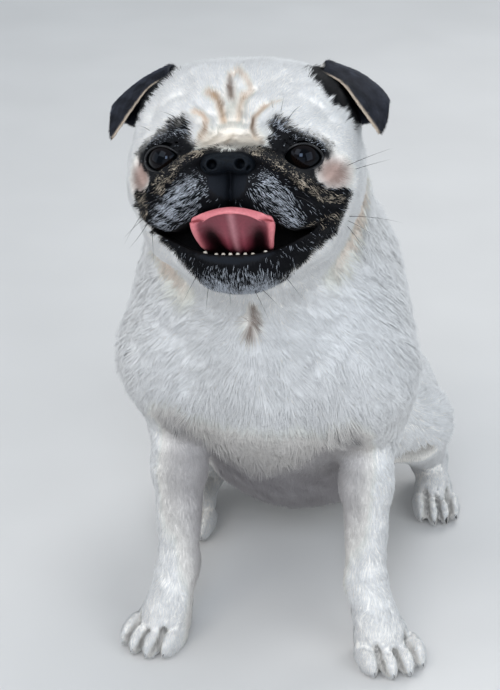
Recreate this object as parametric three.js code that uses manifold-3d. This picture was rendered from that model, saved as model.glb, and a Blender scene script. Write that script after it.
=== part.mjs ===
// A pug that sits and looks ahead with its tongue out, as a still, life-size model.
// Millimetres, +Z up. The dog faces -Y and its left side is +X. It rests on z = 0.
import * as THREE from "three";
import { mergeVertices } from "three/addons/utils/BufferGeometryUtils.js";
import Module from "manifold-3d";

const wasm = await Module();
wasm.setup();

// Driving sizes
const gap = 0.3; // between nodes that touch
const skullWidth = 138; // over the cheeks
const eyeSpacing = 77; // from one eye's middle to the other's
const eyeRadius = 12.5;
const chestWidth = 181; // over the shoulders
const originShift = { x: 3.5, y: 88.5 }; // from between the front feet to the middle of the bounding box

const radians = THREE.MathUtils.degToRad;
const { clamp, lerp, smoothstep } = THREE.MathUtils;

// The head's own frame: x to the dog's left, y up, z to the front
const headPlace = { centre: [-2, -45, 358], pitch: 24, yaw: 2, roll: 4.5 };
const headMatrix = new THREE.Matrix4()
  .makeTranslation(...headPlace.centre)
  .multiply(new THREE.Matrix4().makeRotationZ(radians(headPlace.yaw)))
  .multiply(new THREE.Matrix4().makeRotationX(radians(-headPlace.pitch)))
  .multiply(new THREE.Matrix4().makeRotationY(radians(-headPlace.roll)))
  .multiply(new THREE.Matrix4().makeRotationX(radians(90)));
const headInverse = headMatrix.clone().invert();

// Forms of the head, mirrored to both sides: centre, half sizes, how softly it joins the rest
const eye = { centre: [eyeSpacing / 2, 5.4, 36], outward: 13, upward: 3 };
const lids = { thickness: 2.4, width: 11.2, height: 7.6, drop: -0.9 };
const headForms = [
  { at: [36, -7, 2], half: [skullWidth / 2 - 36, 36, 44], soft: 16 }, // cheek
  { at: [24, 31, 26], half: [22, 15, 17], soft: 10 }, // brow
  { at: [0, 6, 30], half: [24, 24, 22], soft: 10 }, // bridge of the nose
  { at: [19, -12, 41], half: [24, 21, 23], soft: 7 }, // pad of the muzzle
  { at: [34, -22, 34], half: [20, 20, 24], soft: 8 }, // flew
  { at: [0, -50, 22], half: [34, 22, 29], soft: 8 }, // chin
  { at: [30, -36, 8], half: [27, 22, 30], soft: 12 }, // side of the jaw
  { at: [46, 54, -30], half: [16, 10, 15], soft: 10 }, // root of the ear
];
const skull = { at: [0, 18, -12], half: [66, 50, 50], power: 2.6 };

// Folds of the face: a line of [x, y] points seen from the front, its height (+) or depth (-), its width
const folds = [
  { line: [[0, 10], [17, 7], [28, 2], [36, -3], [43, -11]], rise: 8.2, width: 5.5 }, // over the nose
  { line: [[0, 19], [14, 17], [26, 7], [33, -2]], rise: -3, width: 3.5 }, // behind that fold
  { line: [[0, -4], [0, -22]], rise: -2.2, width: 1.8 }, // groove under the nose
  { line: [[25, 33], [15, 27], [13, 19], [19, 14]], rise: 3, width: 4 }, // inner brow
  { line: [[6, 25], [5, 38], [11, 44]], rise: -2.2, width: 2.2 }, // V of the forehead
  { line: [[-1, 40], [-2, 54]], rise: -2, width: 2, single: true }, // slit of the forehead
  { line: [[-7, 26], [7, 26]], rise: -2, width: 2.5, single: true },
  { line: [[48, -9], [56, 2], [57, 14]], rise: -1.8, width: 3.5 }, // under the outer corner of the eye
  { line: [[30, 40], [45, 34], [56, 22]], rise: -1.6, width: 4 }, // over the brow
];

// The line of the mouth: heights at distances from the middle
const mouth = {
  side: [0, 12, 24, 34, 44, 53],
  upper: [-23, -25, -31, -36, -34, -28.5],
  lower: [-49.5, -49.2, -46.5, -42, -37, -28.5],
  back: 14,
};

// Forms of the trunk
const ribs = { at: [0, 80, 182], half: [90, 122, 86], rise: 50 };
const trunkForms = [
  { at: [0, 138, 110], half: [79, 80, 75], soft: 30 }, // belly
  { at: [0, 213, 83], half: [68, 68, 86], soft: 30 }, // rump
  { at: [0, 12, 214], half: [60, 44, 64], soft: 26 }, // front of the chest
  { at: [60, 24, 213], half: [chestWidth / 2 - 58, 50, 58], soft: 22 }, // shoulder
];
const back = { ends: [[0, 96, 236], [0, 206, 110]], radii: [68, 60], soft: 30 };
const neck = { ends: [[-9, 54, 260], [-7, 8, 331]], radii: [78, 70], soft: 30 };
const neckFold = { away: -62, lean: 0.1, depth: 4, width: 8, under: [-20, -2] }; // behind the head
const headSoft = 24; // how softly the head joins the neck

// The front legs: points down the leg, with the radius at each
const frontLegs = {
  left: {
    joints: [[66, 10, 205], [63, 38, 152], [66, 20, 118], [69, 10, 50]],
    radii: [29, 23, 18.5, 13.5],
    paw: { heel: [74, 15], turn: 31, length: 50, width: 46, instep: [-3.5, 17] },
  },
  right: {
    joints: [[-66, 10, 205], [-64, 38, 152], [-61.5, 20, 118], [-60, 8, 48]],
    radii: [30, 25, 20, 13.8],
    paw: { heel: [-62, 8], turn: -16, length: 50, width: 42, instep: [3.5, 17] },
  },
};

// The hind legs, folded: hip, knee, hock, and the foot along the floor
const hindLegs = {
  left: {
    joints: [[47, 214, 82], [78, 152, 98], [83, 238, 22]],
    radii: [46, 30, 13],
    paw: { heel: [86.5, 215], turn: 18, length: 46, width: 34, instep: [0, 12.5] },
  },
  right: {
    joints: [[-47, 208, 84], [-76, 126, 100], [-79, 198, 22]],
    radii: [46, 30, 14],
    paw: { heel: [-80, 160], turn: -4, length: 52, width: 38, instep: [0, 14] },
  },
};

// How softly the bones of a leg join, and the leg joins the trunk low and high on it
const legSoft = 9;
const frontJoin = { low: 4, high: 26, heights: [105, 175] };
const hindJoin = { low: 5, high: 22, heights: [40, 110] };

// The paws: places and sizes are shares of the paw's length and width
const toes = { spread: [-1.5, -0.52, 0.52, 1.5], lead: [0.62, 0.74, 0.74, 0.62], step: 0.25 };
const toeForm = { height: 7.8, half: [0.148, 0.34, 11], soft: 2 };
const pad = { lead: 0.4, height: 10, half: [0.39, 0.42, 16] };
const ankle = { lead: 0.38, height: 20, soft: 9 };
const pawTop = 90; // no paw reaches higher

// The curled tail on the rump
const tail = {
  root: [0, 236, 128],
  centre: [4, 258, 172],
  ring: 24,
  radii: [17, 9],
  reach: [1.12, 0.72], // shares of the ring, at the root and at the tip
  start: -55,
  turns: 1.1,
  drift: 26,
  steps: 20,
  sides: 8,
};

// Points as plain arrays, for the fields
const minus = (a, b) => [a[0] - b[0], a[1] - b[1], a[2] - b[2]];
const dot = (a, b) => a[0] * b[0] + a[1] * b[1] + a[2] * b[2];
const local = new THREE.Vector3();

// Each form is a field: below zero inside it, and about the distance to its surface outside
function eggField(p, at, half) {
  const d = minus(p, at);
  const a = Math.hypot(d[0] / half[0], d[1] / half[1], d[2] / half[2]);
  const b = Math.hypot(d[0] / half[0] ** 2, d[1] / half[1] ** 2, d[2] / half[2] ** 2);
  return (a * (a - 1)) / Math.max(b, 1e-6);
}

function boxyEggField(p, { at, half, power }) {
  const d = minus(p, at);
  const sum = d.reduce((total, value, i) => total + Math.abs(value / half[i]) ** power, 0);
  const reach = Math.max(sum ** (1 / power), 1e-6);
  return Math.hypot(...d) * (1 - 1 / reach);
}

function limbField(p, a, b, radiusA, radiusB) {
  const axis = minus(b, a);
  const d = minus(p, a);
  const t = clamp(dot(d, axis) / dot(axis, axis), 0, 1);
  const off = [d[0] - axis[0] * t, d[1] - axis[1] * t, d[2] - axis[2] * t];
  return Math.hypot(...off) - lerp(radiusA, radiusB, t);
}

function join(a, b, soft) {
  const h = Math.max(soft - Math.abs(a - b), 0) / soft;
  return Math.min(a, b) - (h * h * soft) / 4;
}

// Distance in the plane from a point to a line of points
function lineDistance(x, y, line) {
  let nearest = Infinity;
  for (let i = 1; i < line.length; i++) {
    const [ax, ay] = line[i - 1];
    const [bx, by] = line[i];
    const length2 = (bx - ax) ** 2 + (by - ay) ** 2;
    const t = clamp(((x - ax) * (bx - ax) + (y - ay) * (by - ay)) / length2, 0, 1);
    nearest = Math.min(nearest, Math.hypot(x - ax - (bx - ax) * t, y - ay - (by - ay) * t));
  }
  return nearest;
}

// A value read from a table of heights at rising places
function readTable(places, values, place) {
  const i = clamp(places.findIndex((edge) => edge > place), 1, places.length - 1);
  const last = place >= places[places.length - 1];
  const j = last ? places.length - 1 : i;
  const t = clamp((place - places[j - 1]) / (places[j] - places[j - 1]), 0, 1);
  return lerp(values[j - 1], values[j], t);
}

function lipLine(side) {
  const across = Math.min(Math.abs(side), mouth.side[mouth.side.length - 1]);
  const upper = readTable(mouth.side, mouth.upper, across);
  const lower = readTable(mouth.side, mouth.lower, across);
  return { upper, lower, middle: (upper + lower) / 2 };
}

// The head, in its own frame
function headField(x, y, z) {
  const p = [Math.abs(x), y, z];
  let field = boxyEggField(p, skull);
  for (const form of headForms) field = join(field, eggField(p, form.at, form.half), form.soft);
  const lid = Math.hypot(...minus(p, eye.centre)) - eyeRadius - lids.thickness;
  field = join(field, lid, 4);
  if (z > 0) {
    const front = smoothstep(z, 8, 26);
    for (const fold of folds) {
      const away = lineDistance(fold.single ? x : p[0], y, fold.line) / fold.width;
      if (away < 2.5) field -= front * fold.rise * Math.exp(-away * away);
    }
  }
  return field;
}

function trunkField(x, y, z) {
  const p = [Math.abs(x), y, z];
  const turned = minus(p, ribs.at);
  const slope = radians(ribs.rise);
  const along = -turned[1] * Math.cos(slope) + turned[2] * Math.sin(slope);
  const across = turned[1] * Math.sin(slope) + turned[2] * Math.cos(slope);
  let field = eggField([turned[0], along, across], [0, 0, 0], ribs.half);
  for (const form of trunkForms) field = join(field, eggField(p, form.at, form.half), form.soft);
  field = join(field, limbField(p, ...back.ends, ...back.radii), back.soft);
  return join(field, limbField([x, y, z], ...neck.ends, ...neck.radii), neck.soft);
}

function legField(p, leg) {
  let field = Infinity;
  for (let i = 1; i < leg.joints.length; i++) {
    const bone = limbField(p, leg.joints[i - 1], leg.joints[i], leg.radii[i - 1], leg.radii[i]);
    field = i === 1 ? bone : join(field, bone, legSoft);
  }
  return p[2] < pawTop ? join(field, pawField(p, leg), legSoft) : field;
}

// A paw: a pad with four toes, in its own directions: across, up and ahead
function pawDirections({ turn }) {
  const angle = radians(turn);
  return { ahead: [Math.sin(angle), -Math.cos(angle)], across: [Math.cos(angle), Math.sin(angle)] };
}

function pawPoint(paw, across, ahead, up) {
  const way = pawDirections(paw);
  const x = paw.heel[0] + way.across[0] * across + way.ahead[0] * ahead;
  const y = paw.heel[1] + way.across[1] * across + way.ahead[1] * ahead;
  return [x, y, up];
}

function pawField(p, leg) {
  const { paw } = leg;
  const way = pawDirections(paw);
  const dx = p[0] - paw.heel[0];
  const dy = p[1] - paw.heel[1];
  const across = dx * way.across[0] + dy * way.across[1];
  const ahead = dx * way.ahead[0] + dy * way.ahead[1];
  const q = [across, ahead, p[2]];
  const inPaw = ([wide, long, high]) => [paw.width * wide, paw.length * long, high];
  const wrist = leg.joints[leg.joints.length - 1];
  const wristRadius = leg.radii[leg.radii.length - 1];
  const [aside, thick] = paw.instep;
  const instep = pawPoint(paw, aside, paw.length * ankle.lead, ankle.height);
  let field = eggField(q, inPaw([0, pad.lead, pad.height]), inPaw(pad.half));
  field = join(field, limbField(p, wrist, instep, wristRadius, thick), ankle.soft);
  toes.spread.forEach((spread, i) => {
    const at = inPaw([spread * toes.step, toes.lead[i], toeForm.height]);
    field = join(field, eggField(q, at, inPaw(toeForm.half)), toeForm.soft);
  });
  return field;
}

// Where the front legs, the hind legs and the head can reach, to leave them out elsewhere
const legReach = { front: 130, hind: 30, top: 230 };
const headReach = 190;

// The whole dog without ears, tail, eyes, nose and tongue
function dogField(x, y, z) {
  const p = [x, y, z];
  local.set(x, y, z).applyMatrix4(headInverse);
  let field = trunkField(x, y, z);
  const softAt = ({ low, high, heights }) => lerp(low, high, smoothstep(z, ...heights));
  if (y < legReach.front)
    for (const leg of Object.values(frontLegs)) field = join(field, legField(p, leg), softAt(frontJoin));
  if (y > legReach.hind && z < legReach.top)
    for (const leg of Object.values(hindLegs)) field = join(field, legField(p, leg), softAt(hindJoin));
  if (z > headReach) {
    field = join(field, headField(local.x, local.y, local.z), headSoft);
    const fromFold = (local.z - neckFold.away + local.y * neckFold.lean) / neckFold.width;
    field += neckFold.depth * Math.exp(-fromFold * fromFold) * smoothstep(field, ...neckFold.under);
  }
  return field;
}

// Places along one axis of a grid, finer between two places than outside them
function gridLine(low, high, fine, coarse, fineFrom, fineTo) {
  const places = [low];
  while (places[places.length - 1] < high) {
    const last = places[places.length - 1];
    const isFine = last >= fineFrom && last < fineTo;
    places.push(last + (isFine ? fine : coarse));
  }
  return places;
}

// The twelve edges of a grid cell: edge 4 * axis + side runs along that axis, and the side's two bits say
// where it stands on the next two axes. Corner numbers are made of three bits, one for each axis.
const cellEdges = [];
for (let axis = 0; axis < 3; axis++)
  for (let side = 0; side < 4; side++) {
    const start = ((side & 1) << (axis + 1) % 3) | ((side >> 1) << (axis + 2) % 3);
    cellEdges.push({ axis, start, end: start | (1 << axis) });
  }
const cellFaces = [];
for (let axis = 0; axis < 3; axis++)
  for (const side of [0, 1 << axis]) {
    const u = 1 << (axis + 1) % 3;
    const v = 1 << (axis + 2) % 3;
    cellFaces.push([side, side | u, side | u | v, side | v]);
  }
const edgeBetween = (a, b) => cellEdges.findIndex(({ start, end }) => start === (a & b) && end === (a | b));
const faceEdges = cellFaces.map((face) => face.map((corner, i) => edgeBetween(corner, face[(i + 1) % 4])));

// Groups the crossed edges of a cell by the sheet of surface that passes through them
function sheetsOf(inside) {
  const crossed = cellEdges.map(({ start, end }) => inside[start] !== inside[end]);
  const sheet = crossed.map((isCrossed, i) => (isCrossed ? i : -1));
  const link = (a, b) => {
    const [from, to] = [sheet[b], sheet[a]];
    sheet.forEach((value, i) => {
      if (value === from) sheet[i] = to;
    });
  };
  faceEdges.forEach((edges, face) => {
    const cut = edges.filter((edge) => crossed[edge]);
    if (cut.length === 2) link(cut[0], cut[1]);
    if (cut.length === 4)
      cellFaces[face].forEach((corner, i) => {
        if (inside[corner]) link(edges[i], edges[(i + 3) % 4]);
      });
  });
  return sheet;
}

// The surface where a field is zero: one point for each sheet in each grid cell, joined by quads
function fieldMesh(field, xs, ys, zs) {
  const grid = [xs, ys, zs];
  const [nx, ny, nz] = grid.map((places) => places.length);
  const at = (i, j, k) => (k * ny + j) * nx + i;
  const values = new Float64Array(nx * ny * nz);
  for (let k = 0; k < nz; k++)
    for (let j = 0; j < ny; j++)
      for (let i = 0; i < nx; i++) {
        const edge = i === 0 || j === 0 || k === 0 || i === nx - 1 || j === ny - 1 || k === nz - 1;
        const value = field(xs[i], ys[j], zs[k]);
        values[at(i, j, k)] = edge ? Math.max(value, 0.5) : value;
      }
  const edgePoint = new Int32Array(12 * nx * ny * nz).fill(-1);
  const points = [];
  for (let k = 0; k < nz - 1; k++)
    for (let j = 0; j < ny - 1; j++)
      for (let i = 0; i < nx - 1; i++) {
        const corner = (n) => [i + (n & 1), j + ((n >> 1) & 1), k + (n >> 2)];
        const value = Array.from({ length: 8 }, (_, n) => values[at(...corner(n))]);
        const inside = value.map((v) => v < 0);
        if (inside.every((v) => v === inside[0])) continue;
        const sheet = sheetsOf(inside);
        const onRim = i * j * k === 0 || i === nx - 2 || j === ny - 2 || k === nz - 2;
        for (const name of new Set(sheet.filter((n) => n >= 0))) {
          const point = [0, 0, 0];
          const members = sheet.flatMap((n, edge) => (n === name ? [edge] : []));
          for (const edge of members) {
            const { start, end } = cellEdges[edge];
            const t = value[start] / (value[start] - value[end]);
            const [a, b] = [corner(start), corner(end)];
            for (let n = 0; n < 3; n++) point[n] += lerp(grid[n][a[n]], grid[n][b[n]], t) / members.length;
            edgePoint[12 * at(i, j, k) + edge] = points.length / 3;
          }
          points.push(...(onRim ? point : settle(field, point, 0.3 * (xs[i + 1] - xs[i]))));
        }
      }
  const faces = [];
  const distance = (a, b) => {
    const [p, q] = [a, b].map((n) => points.slice(3 * n, 3 * n + 3));
    return Math.hypot(...minus(p, q));
  };
  const quad = (a, b, c, d) => {
    if (distance(a, c) < distance(b, d)) faces.push(a, b, c, a, c, d);
    else faces.push(b, c, d, b, d, a);
  };
  for (let k = 0; k < nz - 1; k++)
    for (let j = 0; j < ny - 1; j++)
      for (let i = 0; i < nx - 1; i++)
        for (let axis = 0; axis < 3; axis++) {
          const place = [i, j, k];
          const [u, v] = [(axis + 1) % 3, (axis + 2) % 3];
          if (place[u] === 0 || place[v] === 0) continue;
          const next = place.map((n, m) => n + (m === axis ? 1 : 0));
          const inside = values[at(...place)] < 0;
          if (inside === values[at(...next)] < 0) continue;
          const [a, b, c, d] = [3, 2, 0, 1].map((side) => {
            const cell = place.slice();
            cell[u] -= side & 1;
            cell[v] -= side >> 1;
            return edgePoint[12 * at(...cell) + 4 * axis + side];
          });
          if (inside) quad(a, b, c, d);
          else quad(d, c, b, a);
        }
  const geometry = new THREE.BufferGeometry();
  geometry.setAttribute("position", new THREE.Float32BufferAttribute(points, 3));
  geometry.setIndex(faces);
  return geometry;
}

// Moves a point along the field's slope onto its surface, by no more than a limit
function settle(field, point, limit) {
  const step = 0.5;
  const [x, y, z] = point;
  const value = field(x, y, z);
  const slope = [
    field(x + step, y, z) - field(x - step, y, z),
    field(x, y + step, z) - field(x, y - step, z),
    field(x, y, z + step) - field(x, y, z - step),
  ].map((difference) => difference / (2 * step));
  const steepness = Math.max(Math.hypot(...slope), 0.3);
  const move = clamp(-value / steepness, -limit, limit);
  return point.map((place, i) => place + (move * slope[i]) / steepness);
}

// A closed geometry as a solid that can be joined and cut
function solidFrom(geometry, matrix) {
  const bare = new THREE.BufferGeometry();
  bare.setAttribute("position", geometry.getAttribute("position").clone());
  if (geometry.index) bare.setIndex(geometry.index.clone());
  if (matrix) bare.applyMatrix4(matrix);
  const merged = mergeVertices(bare, 1e-4);
  const mesh = new wasm.Mesh({
    numProp: 3,
    vertProperties: new Float32Array(merged.attributes.position.array),
    triVerts: new Uint32Array(merged.index.array),
  });
  return new wasm.Manifold(mesh);
}

// The largest closed surface of a solid: loose scraps and sealed hollows go
function largestPart(solid) {
  const pieces = solid.decompose();
  return pieces.reduce((best, piece) => (piece.volume() > best.volume() ? piece : best));
}

// A long block with one face at a plane, to cut with: it fills the side that the normal points to
function halfSpace(point, normal) {
  const reach = 900;
  const block = new THREE.BoxGeometry(reach, reach, reach);
  const way = new THREE.Vector3(...normal).normalize();
  const turn = new THREE.Quaternion().setFromUnitVectors(new THREE.Vector3(0, 0, 1), way);
  const place = new THREE.Vector3(...point).addScaledVector(way, reach / 2);
  return solidFrom(block, new THREE.Matrix4().compose(place, turn, new THREE.Vector3(1, 1, 1)));
}

function blockBetween(low, high, matrix) {
  const block = new THREE.BoxGeometry(...minus(high, low));
  block.translate((low[0] + high[0]) / 2, (low[1] + high[1]) / 2, (low[2] + high[2]) / 2);
  return solidFrom(block, matrix);
}

// A flat outline pushed along the head's front direction, from one place to another
function headPrism(outline, from, to) {
  const shape = new THREE.Shape(outline.map(([x, y]) => new THREE.Vector2(x, y)));
  const geometry = new THREE.ExtrudeGeometry(shape, { depth: to - from, bevelEnabled: false });
  geometry.translate(0, 0, from);
  return solidFrom(geometry, headMatrix);
}

const floorBlock = blockBetween([-500, -500, -200], [500, 600, 0]);

// Where the head, the neck and the trunk part, and where the legs part from the trunk
const headBack = -50;
const collar = { point: [0, -50, 252], normal: [0, -0.42, 0.908] };
const elbowHeight = 142;
const wristHeight = 44;
const hockHeight = 56;
const wide = 160;
const legRegions = {
  shoulder: { inner: 46, y: [-90, 82], z: [elbowHeight, 246] },
  forearm: { inner: 40, y: [-90, 60], z: [wristHeight, elbowHeight] },
  front_paw: { inner: 30, y: [-90, 60], z: [-5, wristHeight] },
  thigh: { inner: 40, y: [88, 330], z: [hockHeight, 172] },
  hock: { inner: 40, y: ["heel", 330], z: [-5, hockHeight] },
  hind_paw: { inner: 40, y: [80, "heel"], z: [-5, hockHeight] },
};
const heelEdge = { left: 214, right: 172 };

// The block that one piece of a leg fills, drawn in by half the gap (-1) or let out by it (1)
function legBlock(part, side, grow) {
  const region = legRegions[part];
  const [front, back] = region.y.map((place) => (place === "heel" ? heelEdge[side] : place));
  const margin = (grow * gap) / 2;
  const near = region.inner - margin;
  const far = wide + margin;
  const [lowX, highX] = side === "left" ? [near, far] : [-far, -near];
  return blockBetween(
    [lowX, front - margin, region.z[0] - margin],
    [highX, back + margin, region.z[1] + margin],
  );
}

// One surface for the trunk, and finer ones for the feet and the head
function evenGrid(low, high, step) {
  return gridLine(low, high, step, step, low, high);
}

const trunkBox = { low: [-133, -82, -12], high: [133, 312, 405], step: 16.6 };
function trunkSolid(grow) {
  const lines = [0, 1, 2].map((axis) => evenGrid(trunkBox.low[axis], trunkBox.high[axis], trunkBox.step));
  return solidFrom(fieldMesh((x, y, z) => dogField(x, y, z) - grow, ...lines));
}
const trunk = trunkSolid(0).subtract(floorBlock);

const legGrids = {
  forearm: { fine: 9.5, coarse: 10, fineHeight: 100, fineDepth: 200 },
  front_paw: { fine: 6, coarse: 10, fineHeight: 28, fineDepth: 52 },
  hock: { fine: 12, coarse: 12, fineHeight: 100, fineDepth: 200 },
  hind_paw: { fine: 6.8, coarse: 11, fineHeight: 28, fineDepth: 62 },
};
function legSolid(part, side) {
  const block = legBlock(part, side, -1).boundingBox();
  const { fine, coarse, fineHeight, fineDepth } = legGrids[part];
  const [low, high] = [block.min, block.max];
  const front = Math.max(low[1], -64);
  const surface = fieldMesh(
    dogField,
    evenGrid(Math.max(low[0], -125) - 2 * fine, Math.min(high[0], 125) + 2 * fine, fine),
    gridLine(front - 2 * fine, Math.min(high[1], 300) + 2 * coarse, fine, coarse, front - 20, front + fineDepth),
    gridLine(low[2] - 2 * fine, high[2] + 2 * coarse, fine, coarse, low[2] - 20, low[2] + fineHeight),
  );
  return solidFrom(surface).subtract(floorBlock).intersect(legBlock(part, side, -1));
}

// The claws of a paw, one on each toe, with the root sunk in
const claw = { length: 11, radius: 2.6, sunk: 5, droop: 40, fan: 5, lead: 0.28, height: 8.5 };
function withClaws(paw, solid) {
  let made = solid;
  toes.spread.forEach((spread, i) => {
    const cone = new THREE.ConeGeometry(claw.radius, claw.length, 6);
    cone.translate(0, claw.length / 2 - claw.sunk, 0);
    cone.rotateX(radians(90 + claw.droop));
    cone.rotateZ(radians(paw.turn + 180 - spread * claw.fan));
    const across = spread * paw.width * toes.step;
    cone.translate(...pawPoint(paw, across, paw.length * (toes.lead[i] + claw.lead), claw.height));
    made = made.add(solidFrom(cone));
  });
  return made.subtract(floorBlock);
}

const pieces = new Map();
for (const side of ["left", "right"]) {
  const paws = { front_paw: frontLegs[side].paw, hind_paw: hindLegs[side].paw };
  for (const part of Object.keys(legRegions)) {
    const fromTrunk = part === "shoulder" || part === "thigh";
    let solid = fromTrunk ? trunk.intersect(legBlock(part, side, -1)) : legSolid(part, side);
    solid = largestPart(solid);
    if (paws[part]) solid = withClaws(paws[part], solid);
    pieces.set(part + "_" + side, largestPart(solid));
  }
}

const headFront = new THREE.Vector3(0, 0, 1).transformDirection(headMatrix);
const headBackPoint = new THREE.Vector3(0, 0, headBack).applyMatrix4(headMatrix);
function halfSpaceBy(point, normal, distance, sign) {
  const way = new THREE.Vector3(...normal).normalize();
  const place = new THREE.Vector3(...point).addScaledVector(way, distance * sign);
  return halfSpace(place.toArray(), way.multiplyScalar(sign).toArray());
}
const inHead = halfSpaceBy(headBackPoint.toArray(), headFront.toArray(), gap / 2, 1);
const behindHead = halfSpaceBy(headBackPoint.toArray(), headFront.toArray(), gap / 2, -1);
const aboveCollar = halfSpaceBy(collar.point, collar.normal, gap / 2, 1);
const belowCollar = halfSpaceBy(collar.point, collar.normal, gap / 2, -1);

let torso = trunk.intersect(belowCollar);
for (const side of ["left", "right"])
  for (const part of Object.keys(legRegions)) torso = torso.subtract(legBlock(part, side, 1));
pieces.set("torso", largestPart(torso));
let neckPiece = trunk.intersect(aboveCollar).intersect(behindHead);
for (const side of ["left", "right"]) neckPiece = neckPiece.subtract(legBlock("shoulder", side, 1));
pieces.set("neck", largestPart(neckPiece));

// The surface of the head, let out by a distance where something else is cut to fit it
const world = new THREE.Vector3();
function headSurface(grow) {
  const field = (x, y, z) => {
    world.set(x, y, z).applyMatrix4(headMatrix);
    return dogField(world.x, world.y, world.z) - grow;
  };
  return fieldMesh(
    field,
    gridLine(-83, 83, 5.4, 10.5, -47, 46),
    gridLine(-98, 86, 5.4, 11.5, -73, 40),
    gridLine(-62, 80, 5.2, 12, 26, 80),
  );
}
const headWhole = solidFrom(headSurface(0), headMatrix).intersect(inHead).intersect(aboveCollar);

// An eyeball, its socket and the opening between the lids
function eyeMatrix(sign) {
  const [x, y, z] = eye.centre;
  return headMatrix.clone()
    .multiply(new THREE.Matrix4().makeTranslation(sign * x, y, z))
    .multiply(new THREE.Matrix4().makeRotationY(radians(sign * eye.outward)))
    .multiply(new THREE.Matrix4().makeRotationX(radians(-eye.upward)));
}
function lidOpening(sign) {
  const outline = [];
  const points = 20;
  for (let i = 0; i < points; i++) {
    const angle = (2 * Math.PI * i) / points;
    const x = lids.width * Math.cos(angle);
    const y = lids.height * Math.sin(angle) * (1 - 0.18 * Math.cos(angle) ** 2) + lids.drop;
    outline.push(new THREE.Vector2(x, y));
  }
  const geometry = new THREE.ExtrudeGeometry(new THREE.Shape(outline), { depth: 34, bevelEnabled: false });
  return solidFrom(geometry, eyeMatrix(sign));
}

// The nose leather with its two nostrils
const noseForms = [
  { at: [0, 2.4, 58], half: [14.5, 5.8, 10] },
  { at: [8.4, 0.6, 60], half: [6.8, 5.6, 8.6], soft: 3 },
];
const nostril = { from: [7.4, 0.9, 72], to: [8.6, 0.4, 60], side: [13.6, -2, 66], radius: 2.8 };
function noseField(x, y, z) {
  const p = [Math.abs(x), y, z];
  let field = eggField(p, noseForms[0].at, noseForms[0].half);
  field = join(field, eggField(p, noseForms[1].at, noseForms[1].half), noseForms[1].soft);
  const hole = limbField(p, nostril.from, nostril.to, nostril.radius, nostril.radius * 0.8);
  const slit = limbField(p, nostril.to, nostril.side, nostril.radius * 0.7, nostril.radius * 0.45);
  const crease = Math.hypot(p[0], z - 70.5) - 1.6;
  return -join(join(-field, hole, 1.2), join(slit, crease, 0.5), 1.2);
}
function noseSolid(grow) {
  const whole = (x, y, z) => {
    const p = [Math.abs(x), y, z];
    const [middle, wing] = noseForms.map((form) => eggField(p, form.at, form.half));
    return join(middle, wing, noseForms[1].soft) - grow;
  };
  const surface = fieldMesh(
    grow ? whole : noseField,
    evenGrid(-21, 21, 3),
    evenGrid(-12, 16, 2.8),
    gridLine(44, 78, 2.8, 6, 60, 80),
  );
  return solidFrom(surface, headMatrix);
}

// A closed sheet from rows of points down its middle, with a thickness for each place on it
function sheetSolid(rows, thicknessAt) {
  const [down, across] = [rows.length, rows[0].length];
  const positions = [];
  for (const face of [1, -1])
    rows.forEach((row, i) =>
      row.forEach((point, j) => {
        const u = rows[Math.min(i + 1, down - 1)][j].clone().sub(rows[Math.max(i - 1, 0)][j]);
        const v = row[Math.min(j + 1, across - 1)].clone().sub(row[Math.max(j - 1, 0)]);
        const normal = u.cross(v).normalize();
        const thickness = thicknessAt(i / (down - 1), j / (across - 1));
        positions.push(...point.clone().addScaledVector(normal, (face * thickness) / 2).toArray());
      }),
    );
  const faces = [];
  const at = (face, i, j) => (face * down + i) * across + j;
  for (let i = 0; i < down - 1; i++)
    for (let j = 0; j < across - 1; j++) {
      const corners = [[i, j], [i + 1, j], [i + 1, j + 1], [i, j + 1]];
      const [a, b, c, d] = corners.map(([r, s]) => at(0, r, s));
      const [e, f, g, h] = corners.map(([r, s]) => at(1, r, s));
      faces.push(a, b, c, a, c, d, e, g, f, e, h, g);
    }
  const rim = [];
  for (let j = 0; j < across; j++) rim.push([0, j]);
  for (let i = 1; i < down; i++) rim.push([i, across - 1]);
  for (let j = across - 2; j >= 0; j--) rim.push([down - 1, j]);
  for (let i = down - 2; i > 0; i--) rim.push([i, 0]);
  rim.forEach((place, i) => {
    const next = rim[(i + 1) % rim.length];
    const [a, b] = [at(0, ...place), at(0, ...next)];
    const [c, d] = [at(1, ...place), at(1, ...next)];
    faces.push(a, b, d, a, d, c);
  });
  const geometry = new THREE.BufferGeometry();
  geometry.setAttribute("position", new THREE.Float32BufferAttribute(positions, 3));
  geometry.setIndex(faces);
  if (signedVolume(positions, faces) < 0) geometry.setIndex(faces.slice().reverse());
  return solidFrom(geometry, headMatrix);
}

function signedVolume(positions, faces) {
  let volume = 0;
  for (let i = 0; i < faces.length; i += 3) {
    const [a, b, c] = [0, 1, 2].map((n) => new THREE.Vector3().fromArray(positions, 3 * faces[i + n]));
    volume += a.dot(b.cross(c)) / 6;
  }
  return volume;
}

function curveThrough(points, count) {
  const curve = new THREE.CatmullRomCurve3(points.map((point) => new THREE.Vector3(...point)));
  return Array.from({ length: count }, (_, i) => curve.getPoint(i / (count - 1)));
}

// A surface through guide lines: each guide runs across, and the rows follow one another down
function surfaceRows(guides, down, across) {
  const lines = guides.map((guide) => curveThrough(guide, across));
  const columns = lines[0].map((_, j) => curveThrough(lines.map((line) => line[j].toArray()), down));
  return columns[0].map((_, i) => columns.map((column) => column[i]));
}

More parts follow.
